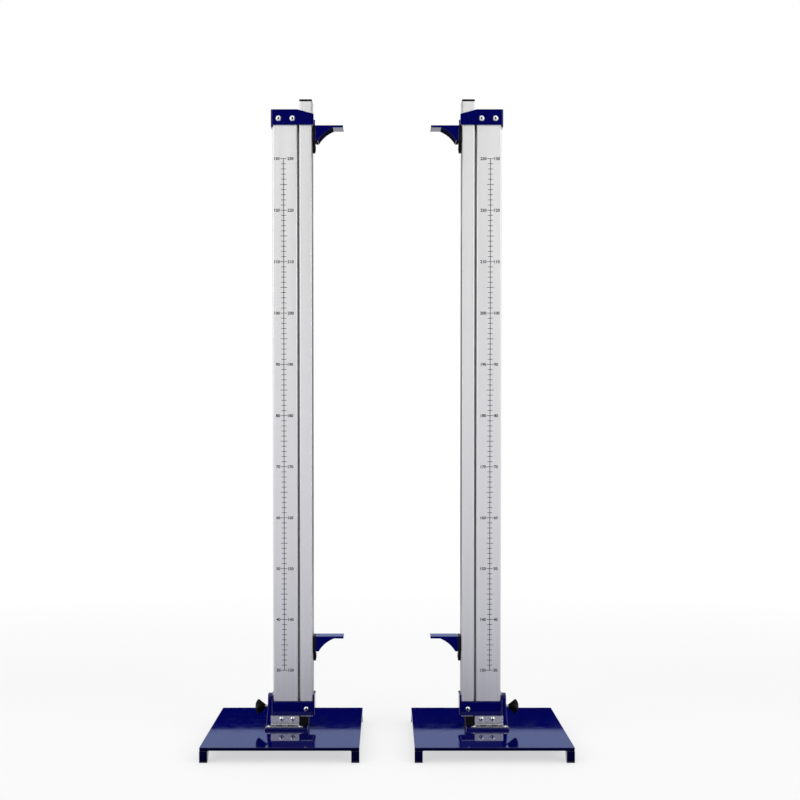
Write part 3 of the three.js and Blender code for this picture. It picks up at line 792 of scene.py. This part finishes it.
def screws(side):
    """Each head on its seat, along the screw's own direction."""
    clamp, plate = box("head_clamp").y0, box("socket").y0
    upper_leaf = box("hinge_upper_leaf").y1 - LEAF_THICKNESS
    lower_leaf = box("hinge_lower_leaf").z0 + LEAF_THICKNESS
    upper_mount, lower_mount = box("upper_rest_mount").x0, box("lower_rest_mount").x0
    kinds = [
        ("clamp_bolt_inner", hex_head, FRONT, clamp, screw_zinc, "upright"),
        ("clamp_bolt_outer", hex_head, FRONT, clamp, screw_zinc, "upright"),
        ("socket_screw", hex_head, FRONT, plate, screw_zinc, "upright"),
        ("upper_leaf_screw_inner", cross_head, FRONT, upper_leaf, screw_zinc, "upright"),
        ("upper_leaf_screw_outer", cross_head, FRONT, upper_leaf, screw_zinc, "upright"),
        ("lower_leaf_screw_inner", cross_head, UP, lower_leaf, screw_zinc, "bases"),
        ("lower_leaf_screw_outer", cross_head, UP, lower_leaf, screw_zinc, "bases"),
        ("upper_rest_screw", hex_head, INWARD, upper_mount, oxide, "raised_mast"),
        ("lower_rest_screw", hex_head, INWARD, lower_mount, oxide, "raised_mast"),
    ]
    for node, make, way, seat, look, body in kinds:
        screw = box(node)
        low, high = screw[:3], screw[3:]
        axis = next(i for i, value in enumerate(way) if value)
        across = 1 if axis == 0 else 0
        radius = (high[across] - low[across]) / 2
        height = high[axis] - seat if way[axis] > 0 else seat - low[axis]
        place = [(a + b) / 2 for a, b in zip(low, high)]
        place[axis] = seat
        mesh = make(radius, height)
        shaded_recess = recess_faces(mesh, radius, height)
        obj = add(side, f"{node}_head", aimed(mesh, way, place), look, body, [node])
        # Painted shade: the faces inside a zinc head's recess take the near-black zinc
        if look is screw_zinc:
            obj.data.materials.append(recess_shade_zinc.material)
            for index in shaded_recess:
                obj.data.polygons[index].material_index = 1


# Foot block and socket
def foot_block(side):
    block = box("foot_block")
    column = box("column")
    top = block.z1 - SPIGOT_HEIGHT
    outline = rounded(rectangle(block.x0, block.x1, block.y0, block.y1), BLOCK_EDGE)
    body = prism([outline], "xy", block.z0, top)
    inner = column.x0 + TUBE_WALL + CHANNEL_DEPTH + 2 * TUBE_WALL
    inset = TUBE_WALL + TUBE_CORNER
    outline = rectangle(inner, column.x1 - inset, column.y0 + inset, column.y1 - inset)
    spigot = prism([outline], "xy", top, block.z1)
    add(side, "foot_block_steel", merged(body, spigot), oxide, "upright", ["foot_block"], BLOCK_EDGE)


def socket_path():
    """The socket's outer line, with the height of its edge: low over the plates, high on the ears."""
    socket = box("socket")
    plate_top = socket.z0 + SOCKET_PLATE_HEIGHT
    shoulder = socket.z1 - EAR_RADIUS
    near, far = socket.x0 + SOCKET_BEND, socket.x1 - SOCKET_BEND
    run = [(near, socket.y0, plate_top), (far, socket.y0, plate_top)]
    corner = (far, socket.y0 + SOCKET_BEND)
    bend = arc(corner, SOCKET_BEND, -math.pi / 2, 0, SOCKET_BEND_STEPS)
    run += [(x, y, shoulder) for x, y in bend[1:]]
    for i in range(1, HALF_CURVE_STEPS + 1):
        angle = math.pi / 2 * i / HALF_CURVE_STEPS
        y = socket.y0 + EAR_RADIUS * (1 - math.cos(angle))
        if y > socket.y0 + SOCKET_BEND:
            run.append((socket.x1, y, shoulder + EAR_RADIUS * math.sin(angle)))
    half = run + [(x, socket.y0 + socket.y1 - y, z) for x, y, z in reversed(run[2:])]
    other = [(socket.x0 + socket.x1 - x, socket.y0 + socket.y1 - y, z) for x, y, z in half]
    return [(x, y, socket.z0, z) for x, y, z in half + other]


def socket(side):
    level = box("socket").z0 + SOCKET_PLATE_HEIGHT
    mesh = bent_sheet(socket_path(), SOCKET_SHEET, True, level)
    add(side, "socket_sheet", mesh, enamel, "upright", ["socket"], SOCKET_EDGE)


# Column and mast
def column(side):
    tube = box("column")
    centre = (tube.y0 + tube.y1) / 2
    slot, channel = SLOT_OPENING / 2, CHANNEL_WIDTH / 2
    lip = tube.x0 + TUBE_WALL
    floor = lip + CHANNEL_DEPTH
    outer = rectangle(tube.x0, tube.x1, tube.y0, tube.y1)
    notch = [(tube.x0, slot), (lip, slot), (lip, channel), (floor, channel)]
    outer += [(x, centre + y) for x, y in notch] + [(x, centre - y) for x, y in reversed(notch)]
    radii = [TUBE_CORNER] * 4 + [LIP_ROUND] * 8
    wall = channel + TUBE_WALL
    cavity = rectangle(lip, tube.x1 - TUBE_WALL, tube.y0 + TUBE_WALL, tube.y1 - TUBE_WALL)
    pocket = [(lip, wall), (floor + TUBE_WALL, wall)]
    cavity += [(x, centre + y) for x, y in pocket] + [(x, centre - y) for x, y in reversed(pocket)]
    mesh = prism([rounded(outer, radii), cavity], "xy", tube.z0, tube.z1)
    add(side, "column_extrusion", mesh, anodised, "upright", ["column"])


def mast(side):
    tube = box("mast")
    cap = box("mast_cap")
    centre = (tube.y0 + tube.y1) / 2
    outer = rounded(rectangle(tube.x0, cap.x1, tube.y0, tube.y1), TUBE_CORNER)
    wall = TUBE_WALL
    bore = rectangle(tube.x0 + wall, cap.x1 - wall, tube.y0 + wall, tube.y1 - wall)
    body = prism([outer, bore], "xy", tube.z0, tube.z1)
    neck = SLOT_OPENING / 2 - SLIDE_GAP
    head = CHANNEL_WIDTH / 2 - SLIDE_GAP
    root, lip = cap.x1, box("column").x0 + TUBE_WALL + SLIDE_GAP
    half = [(root, neck), (lip, neck), (lip, head), (tube.x1, head)]
    section = [(x, centre + y) for x, y in half] + [(x, centre - y) for x, y in reversed(half)]
    rib = prism([section], "xy", tube.z0, tube.z1 - RIB_BELOW_TOP)
    add(side, "mast_extrusion", merged(body, rib), anodised, "raised_mast", ["mast"])


def mast_cap(side):
    cap = box("mast_cap")
    outline = rounded(rectangle(cap.x0, cap.x1, cap.y0, cap.y1), TUBE_CORNER)
    lid = prism([outline], "xy", cap.z1 - CAP_THICKNESS, cap.z1)
    inset = TUBE_WALL + SEAT_GAP
    inner = rectangle(cap.x0 + inset, cap.x1 - inset, cap.y0 + inset, cap.y1 - inset)
    plug = prism([inner], "xy", cap.z0, cap.z1 - CAP_THICKNESS)
    mesh = merged(lid, plug)
    add(side, "mast_cap_moulding", mesh, plastic, "raised_mast", ["mast_cap"], CAP_EDGE)


# Head clamp
def clamp_path():
    """The clamp's outer line from the front plate round to the back one, with low and high edges."""
    clamp = box("head_clamp")
    kink = box("column").x0
    back = clamp.y1 - BOSS_LENGTH
    low = clamp.z1 - CLAMP_PLATE_HEIGHT
    side_low = clamp.z1 - CLAMP_SIDE_HEIGHT
    end = (clamp.x0, clamp.y0, low, clamp.z1 - CLAMP_SLOPE_DROP)
    half = [end, (kink, clamp.y0, low, clamp.z1)]
    corner = (clamp.x1 - CLAMP_BEND, clamp.y0 + CLAMP_BEND)
    bend = arc(corner, CLAMP_BEND, -math.pi / 2, 0, CLAMP_BEND_STEPS)
    half += [(x, y, low if i == 0 else side_low, clamp.z1) for i, (x, y) in enumerate(bend)]
    return half + [(x, clamp.y0 + back - y, bottom, top) for x, y, bottom, top in reversed(half)]


def boss_mesh():
    """The round boss for the mast knob's stud, with a weld fillet at its foot."""
    bore = STUD_RADIUS + SEAT_GAP
    fillet = BOSS_FILLET * FILLET_MIDDLE_SHARE
    return turned([
        (bore, 0),
        (BOSS_RADIUS + BOSS_FILLET, 0),
        (BOSS_RADIUS + fillet, fillet),
        (BOSS_RADIUS, BOSS_FILLET),
        (BOSS_RADIUS, BOSS_LENGTH - PLATE_EDGE),
        (BOSS_RADIUS - PLATE_EDGE, BOSS_LENGTH),
        (bore, BOSS_LENGTH),
        (bore, 0),
    ])


def head_clamp(side):
    clamp = box("head_clamp")
    level = clamp.z1 - CLAMP_PLATE_HEIGHT
    sheet = bent_sheet(clamp_path(), CLAMP_SHEET, False, level)
    add(side, "head_clamp_sheet", sheet, enamel, "upright", ["head_clamp"], CLAMP_EDGE)
    back = clamp.y1 - BOSS_LENGTH
    slot_floor = box("column").x0 + TUBE_WALL + CHANNEL_DEPTH
    inside = CLAMP_SHEET - SEAT_GAP / 2
    outline = rectangle(slot_floor, clamp.x1 - inside, clamp.y0 + inside, back - inside)
    lid = prism([outline], "xy", clamp.z1 - CLAMP_SHEET, clamp.z1 - SEAT_GAP)
    add(side, "head_clamp_lid", lid, enamel, "upright", edge=SEAT_GAP)
    mast_x, _, mast_z = joint_at("mast_lock_turn")
    boss = aimed(boss_mesh(), BACK, (mast_x, back, mast_z))
    add(side, "head_clamp_boss", boss, enamel, "upright")


# Bar rests
def rest_outline(rest, face):
    """The shelf and the curved gusset under it, seen from the front."""
    foot = face - GUSSET_FOOT
    under = rest.z1 - REST_THICKNESS
    start, end = Vector((rest.x0 + REST_TIP, under)), Vector((foot, rest.z0))
    pull = end + Vector((start.x - end.x, 0)) * GUSSET_CURVE_SHARE
    pull.y = under + (rest.z0 - under) * GUSSET_CURVE_SHARE
    outline = [(face, rest.z1), (rest.x0, rest.z1), (rest.x0, under)]
    outline += bow(start, pull, end, range(CURVE_STEPS + 1), CURVE_STEPS)
    return [*outline, (face, rest.z0)]


def rest_bracket(side, level):
    """The bracket, its curved underside in the darker enamel as painted shade."""
    rest = box(f"{level}_rest")
    outline = rest_outline(rest, box(f"{level}_rest_mount").x0 - SEAT_GAP)
    mesh = prism([outline], "xz", rest.y0, rest.y1)
    nodes = [f"{level}_rest"]
    bracket = add(side, f"{level}_rest_bracket", mesh, enamel, "raised_mast", nodes, REST_EDGE)
    bracket.data.materials.append(painted_shade_enamel.material)
    under = rest.z1 - REST_THICKNESS
    for face in bracket.data.polygons:
        below = face.center.z < under - SEAT_GAP / 2 and abs(face.normal.y) < SIDE_SLOPE
        face.material_index = int(below and face.normal.z < 0)


def rest_mount(side, level):
    """The moulding behind a bracket, with a round tongue below it."""
    foot = box(f"{level}_rest").z0
    mount = box(f"{level}_rest_mount")
    tongue = ((mount.y0 + mount.y1) / 2, mount.z0 + MOUNT_TONGUE_RADIUS)
    outline = [(mount.y1, foot), (mount.y1, mount.z1), (mount.y0, mount.z1), (mount.y0, foot)]
    outline += arc(tongue, MOUNT_TONGUE_RADIUS, math.pi, 2 * math.pi, CURVE_STEPS)
    mesh = prism([outline], "yz", mount.x0, mount.x1)
    nodes = [f"{level}_rest_mount"]
    add(side, f"{level}_rest_mount_moulding", mesh, plastic, "raised_mast", nodes, MOUNT_EDGE)


def rests(side):
    for level in ("upper", "lower"):
        rest_bracket(side, level)
        rest_mount(side, level)


# Knobs
def knob_mesh(grip_radius, length):
    """A star knob from its hub's end, at 0, to its crown: a cone, lobes with round tips, a dome."""
    tip = (grip_radius - KNOB_TIP_RADIUS, length * KNOB_TIP_SHARE)
    tips = arc(tip, KNOB_TIP_RADIUS, KNOB_TIP_START, KNOB_TIP_END, CORNER_STEPS * 2)
    hub = (KNOB_HUB_RADIUS, KNOB_CHAMFER * 2)
    profile = [(0, 0), (KNOB_HUB_RADIUS - KNOB_CHAMFER, 0), (KNOB_HUB_RADIUS, KNOB_CHAMFER), hub]
    for i in range(1, HALF_CURVE_STEPS):
        profile.append(tuple(Vector(hub).lerp(Vector(tips[0]), i / HALF_CURVE_STEPS)))
    profile += tips
    edge = Vector(tips[-1])
    pull = Vector((edge.x * KNOB_DOME_SHARE, length))
    profile += bow(edge, pull, Vector((0, length)), range(1, HALF_CURVE_STEPS), HALF_CURVE_STEPS)
    profile.append((0, length))

    def lobed(radius, height, angle):
        outward = max(0, (radius - KNOB_HUB_RADIUS) / (grip_radius - KNOB_HUB_RADIUS))
        dip = (1 - math.cos(KNOB_LOBES * angle)) / 2
        return radius - KNOB_LOBE_DEPTH * outward**KNOB_LOBE_POWER * dip

    return turned(profile, KNOB_LOBES * LOBE_STEPS, lobed)


def stud_mesh(length):
    """A threaded stud with a chamfered tip, from its tip at 0."""
    steps = math.ceil(length / THREAD_PITCH * THREAD_STEPS)
    profile = [(0, 0), (STUD_RADIUS - THREAD_DEPTH, 0)]
    profile += [(STUD_RADIUS, length * (i + 1) / steps) for i in range(steps)]
    profile.append((0, length))

    def threaded(radius, height, angle):
        if radius < STUD_RADIUS:
            return radius
        turn = (height / THREAD_PITCH - angle / (2 * math.pi)) % 1
        return radius - THREAD_DEPTH * abs(2 * turn - 1)

    return turned(profile, ROUND_SIDES // 2, threaded)


def knobs(side):
    """Each knob on its joint, one lobe pointing to the front or outwards as in the frame."""
    sign = SIDES[side]
    outwards = (sign, 0, 0)
    lock, mast = box("lock_knob"), box("mast_knob")
    lock_x, lock_y, lock_z = joint_at("lock_turn")
    mast_x, mast_y, mast_z = joint_at("mast_lock_turn")
    kinds = [
        Knob(
            "lock_knob", "lock_screw", tip=(sign * lock_x, lock_y, lock_z), way=outwards, lobe=FRONT,
            length=lock.x1 - lock.x0, stud=LUG_THICKNESS + KNOB_NECK, radius=lock_y - lock.y0,
        ),
        Knob(
            "mast_knob", "mast_lock_screw", tip=(sign * mast_x, mast_y, mast_z), way=BACK, lobe=outwards,
            length=mast.y1 - mast.y0, stud=CLAMP_SHEET + BOSS_LENGTH + KNOB_NECK, radius=mast.x1 - mast_x,
        ),
    ]
    for knob in kinds:
        hub = tuple(a + b * knob.stud for a, b in zip(knob.tip, knob.way))
        grip = aimed(knob_mesh(knob.radius, knob.length - knob.stud), knob.way, hub, knob.lobe)
        add(side, f"{knob.node}_grip", grip, plastic, knob.body, [knob.node], mirrored=False)
        rod = aimed(stud_mesh(knob.stud + KNOB_CHAMFER), knob.way, knob.tip, knob.lobe)
        add(side, f"{knob.node}_stud", rod, zinc, knob.body, mirrored=False)


# Printed scale
def figure(text):
    """A number as a thin raised mesh, reading along x, and its width."""
    curve = bpy.data.curves.new("figure", "FONT")
    curve.body = text
    curve.resolution_u = FIGURE_RESOLUTION
    curve.size = FIGURE_HEIGHT
    curve.offset = FIGURE_HEIGHT * FIGURE_BOLD_SHARE
    curve.extrude = INK_DEPTH / 2
    mesh = evaluated(bpy.data.objects.new("figure", curve))
    xs, ys = [v.co.x for v in mesh.vertices], [v.co.y for v in mesh.vertices]
    middle = Vector(((min(xs) + max(xs)) / 2, (min(ys) + max(ys)) / 2, 0))
    scale = FIGURE_HEIGHT / (max(ys) - min(ys))
    mesh.transform(Matrix.Scale(scale, 4) @ Matrix.Translation(-middle))
    return mesh, scale * (max(xs) - min(xs))


def printed_scale(side):
    """One line up the column with a mark for each centimetre, and two rows of figures."""
    sign = SIDES[side]
    tube = box("column")
    front = tube.y0
    axis = sign * (tube.x1 - SCALE_AXIS)
    parts = []

    def bar(half_width, low, high):
        outline = rectangle(axis - half_width, axis + half_width, low, high)
        parts.append(prism([outline], "xz", front - INK_DEPTH, front))

    bar(AXIS_LINE / 2, SCALE_LOW, SCALE_LOW + SCALE_STEP * SCALE_STEPS)
    for i in range(SCALE_STEPS + 1):
        height = SCALE_LOW + SCALE_STEP * i
        half = TICK_HALF
        if i % LABEL_EVERY == 0:
            half = LABEL_TICK_HALF
        elif i % MIDDLE_EVERY == 0:
            half = MIDDLE_TICK_HALF
        bar(half, height - TICK_LINE / 2, height + TICK_LINE / 2)
        if i % LABEL_EVERY:
            continue
        for way, first in ((sign, FIRST_OUTER), (-sign, FIRST_INNER)):
            number, width = figure(str(first + i))
            reach = FIGURES_FROM_AXIS + width / 2
            spot = (axis + way * reach, front - INK_DEPTH / 2, height)
            number.transform(Matrix.Translation(spot) @ Matrix.Rotation(math.pi / 2, 4, "X"))
            parts.append(number)
    add(side, "printed_scale", merged(*parts), ink, "upright", mirrored=False)


for standard in SIDES:
    base_plate(standard)
    feet(standard)
    foot_welds(standard)
    hinge_pad(standard)
    lock_lug(standard)
    hinge(standard)
    screws(standard)
    foot_block(standard)
    socket(standard)
    column(standard)
    mast(standard)
    mast_cap(standard)
    head_clamp(standard)
    rests(standard)
    knobs(standard)
    printed_scale(standard)


# Stage
FLOOR_RADIUS = 3.2
FLOOR_SIDES = 96
FLOOR_FADE_START = 1.0
FLOOR_FADE_END = 2.6
FLOOR_COLOR = (0.9, 0.9, 0.91)
FLOOR_WHITE_SHARE = 0.6
WORLD_AMBIENT = 0.5


def seen_rays(tree):
    """1 for the rays of the camera, of reflections and of what is see-through, 0 for the others."""
    path = tree.nodes.new("ShaderNodeLightPath")
    level = path.outputs["Is Camera Ray"]
    for output in ("Is Glossy Ray", "Is Transmission Ray"):
        node = tree.nodes.new("ShaderNodeMath")
        node.operation = "MAXIMUM"
        tree.links.new(level, node.inputs[0])
        tree.links.new(path.outputs[output], node.inputs[1])
        level = node.outputs["Value"]
    return level


def floor_material():
    """Pale floor that keeps the shadows and fades into the white round it."""
    material = bpy.data.materials.new("pale_floor")
    material.use_nodes = True
    tree = material.node_tree
    tree.nodes.clear()
    output = tree.nodes.new("ShaderNodeOutputMaterial")
    diffuse = tree.nodes.new("ShaderNodeBsdfDiffuse")
    diffuse.inputs["Color"].default_value = (*FLOOR_COLOR, 1)
    white = tree.nodes.new("ShaderNodeEmission")
    coordinates = tree.nodes.new("ShaderNodeTexCoord")
    length = tree.nodes.new("ShaderNodeVectorMath")
    length.operation = "LENGTH"
    fade = tree.nodes.new("ShaderNodeMapRange")
    fade.inputs["From Min"].default_value = FLOOR_FADE_START
    fade.inputs["From Max"].default_value = FLOOR_FADE_END
    fade.inputs["To Min"].default_value = FLOOR_WHITE_SHARE
    share = tree.nodes.new("ShaderNodeMath")
    share.operation = "MULTIPLY"
    mix = tree.nodes.new("ShaderNodeMixShader")
    links = [
        (coordinates.outputs["Object"], length.inputs[0]),
        (length.outputs["Value"], fade.inputs["Value"]),
        (seen_rays(tree), share.inputs[0]),
        (fade.outputs["Result"], share.inputs[1]),
        (share.outputs["Value"], mix.inputs["Fac"]),
        (diffuse.outputs["BSDF"], mix.inputs[1]),
        (white.outputs["Emission"], mix.inputs[2]),
        (mix.outputs["Shader"], output.inputs["Surface"]),
    ]
    for start, end in links:
        tree.links.new(start, end)
    return material


def floor():
    bm = bmesh.new()
    bmesh.ops.create_circle(bm, cap_ends=True, segments=FLOOR_SIDES, radius=FLOOR_RADIUS)
    mesh = stored(bm)
    mesh.materials.append(floor_material())
    obj = bpy.data.objects.new("floor", mesh)
    bpy.context.scene.collection.objects.link(obj)


def world():
    """White to the camera and in reflections, softer as ambient light."""
    studio = bpy.data.worlds.new("studio")
    bpy.context.scene.world = studio
    studio.use_nodes = True
    tree = studio.node_tree
    background = tree.nodes["Background"]
    background.inputs["Color"].default_value = (1, 1, 1, 1)
    level = tree.nodes.new("ShaderNodeMapRange")
    level.inputs["To Min"].default_value = WORLD_AMBIENT
    tree.links.new(seen_rays(tree), level.inputs["Value"])
    tree.links.new(level.outputs["Result"], background.inputs["Strength"])


# Cards that only reflections show, as in a photographer's studio: (name, corner, corner, colour).
# They give the enamel, the aluminium and the zinc the light and dark bands of the photo.
DARK = (0.012, 0.012, 0.02)
DIM = (0.55, 0.55, 0.69)
NAVY = (0.001, 0.002, 0.085)
BLUE = (0.02, 0.02, 2)
SHADE = (0.3, 0.3, 0.32)
GREY = (0.38, 0.47, 0.75)
CARDS = [
    ("card_behind_camera", (-0.9, -3.6, 1.1), (0.9, -3.6, 2.3), DARK),
    ("card_before_bases", (-0.9, -0.42, 0.002), (0.9, -0.19, 0.002), NAVY),
    ("card_ahead", (-0.9, -2, 0.002), (0.9, -0.42, 0.002), DIM),
    ("card_low_behind", (-0.8, 2, 0.3), (0.8, 2, 0.468), NAVY),
    ("card_high_behind", (-0.8, 2, 0.468), (0.8, 2, 0.62), GREY),
    ("card_between", (-0.13, 0.35, 0.32), (0.13, 0.35, 1.06), SHADE),
    ("card_behind_curves", (-0.08, 0.35, 1.09), (0.08, 0.35, 1.24), DARK),
    ("card_middle", (0, -0.1, 0.25), (0, 0.3, 1.25), SHADE),
    ("card_middle_head", (0, -0.3, 1.17), (0, -0.05, 1.45), DARK),
    ("card_middle_foot", (0, -0.3, 0.002), (0, -0.05, 0.2), DARK),
]
# One of each for the right-hand standard, and its mirror image for the left-hand one
SIDE_CARDS = [
    ("card_behind_{}_foot", (0.148, 0.35, 1.08), (0.168, 0.35, 1.118), DARK),
    ("card_ahead_of_{}_lug", (0.46, -3.6, 0.2), (0.58, -3.6, 0.6), BLUE),
    ("card_ahead_of_{}_rest", (0.1, -1.5, 0.004), (0.23, -0.85, 0.004), NAVY),
]


def card_material(name, color):
    material = bpy.data.materials.new(name)
    material.use_nodes = True
    tree = material.node_tree
    tree.nodes.clear()
    output = tree.nodes.new("ShaderNodeOutputMaterial")
    emission = tree.nodes.new("ShaderNodeEmission")
    emission.inputs["Color"].default_value = (*color, 1)
    tree.links.new(emission.outputs["Emission"], output.inputs["Surface"])
    return material


def card(name, low, high, color):
    """A card between two opposite corners, upright or level."""
    upright = high[2] > low[2]
    second = (high[0], high[1] if upright else low[1], low[2])
    fourth = (low[0], low[1] if upright else high[1], high[2])
    mesh = bpy.data.meshes.new(name)
    mesh.from_pydata([low, second, high, fourth], [], [(0, 1, 2, 3)])
    mesh.materials.append(card_material(name, color))
    obj = bpy.data.objects.new(name, mesh)
    obj.visible_camera = False
    obj.visible_diffuse = False
    obj.visible_shadow = False
    obj.visible_transmission = False
    bpy.context.scene.collection.objects.link(obj)


def cards():
    for row in CARDS:
        card(*row)
    for side, sign in SIDES.items():
        for name, low, high, color in SIDE_CARDS:
            card(name.format(side), (sign * low[0], *low[1:]), (sign * high[0], *high[1:]), color)


# Soft square lamps: (name, place, width, watts)
LAMPS = [
    ("key_left", (-2.1, -2.3, 2), 2.2, 30),
    ("key_right", (2.1, -2.3, 2), 2.2, 30),
    ("top", (0, 0.2, 2.9), 2.6, 22),
    ("back", (0, 2.8, 2), 2.6, 22),
]
LAMP_TARGET = Vector((0, 0, 0.6))


def lamps():
    for name, place, size, power in LAMPS:
        light = bpy.data.lights.new(name, "AREA")
        light.shape = "SQUARE"
        light.size = size
        light.energy = power
        obj = bpy.data.objects.new(name, light)
        obj.location = place
        obj.rotation_euler = (LAMP_TARGET - Vector(place)).to_track_quat("-Z", "Y").to_euler()
        bpy.context.scene.collection.objects.link(obj)


# Camera
CAMERA_PLACE = (0, -2.7, 0.6069)
CAMERA_PITCH = math.radians(88.5)
CAMERA_LENS = 61.67
CAMERA_SHIFT_X = 0.01625
CAMERA_SHIFT_Y = 0.0875


def camera():
    data = bpy.data.cameras.new("camera")
    data.lens = CAMERA_LENS
    data.shift_x = CAMERA_SHIFT_X
    data.shift_y = CAMERA_SHIFT_Y
    obj = bpy.data.objects.new("camera", data)
    obj.location = CAMERA_PLACE
    obj.rotation_euler = (CAMERA_PITCH, 0, 0)
    bpy.context.scene.collection.objects.link(obj)
    bpy.context.scene.camera = obj


floor()
world()
cards()
lamps()
camera()
bpy.context.scene.view_settings.view_transform = "Standard"
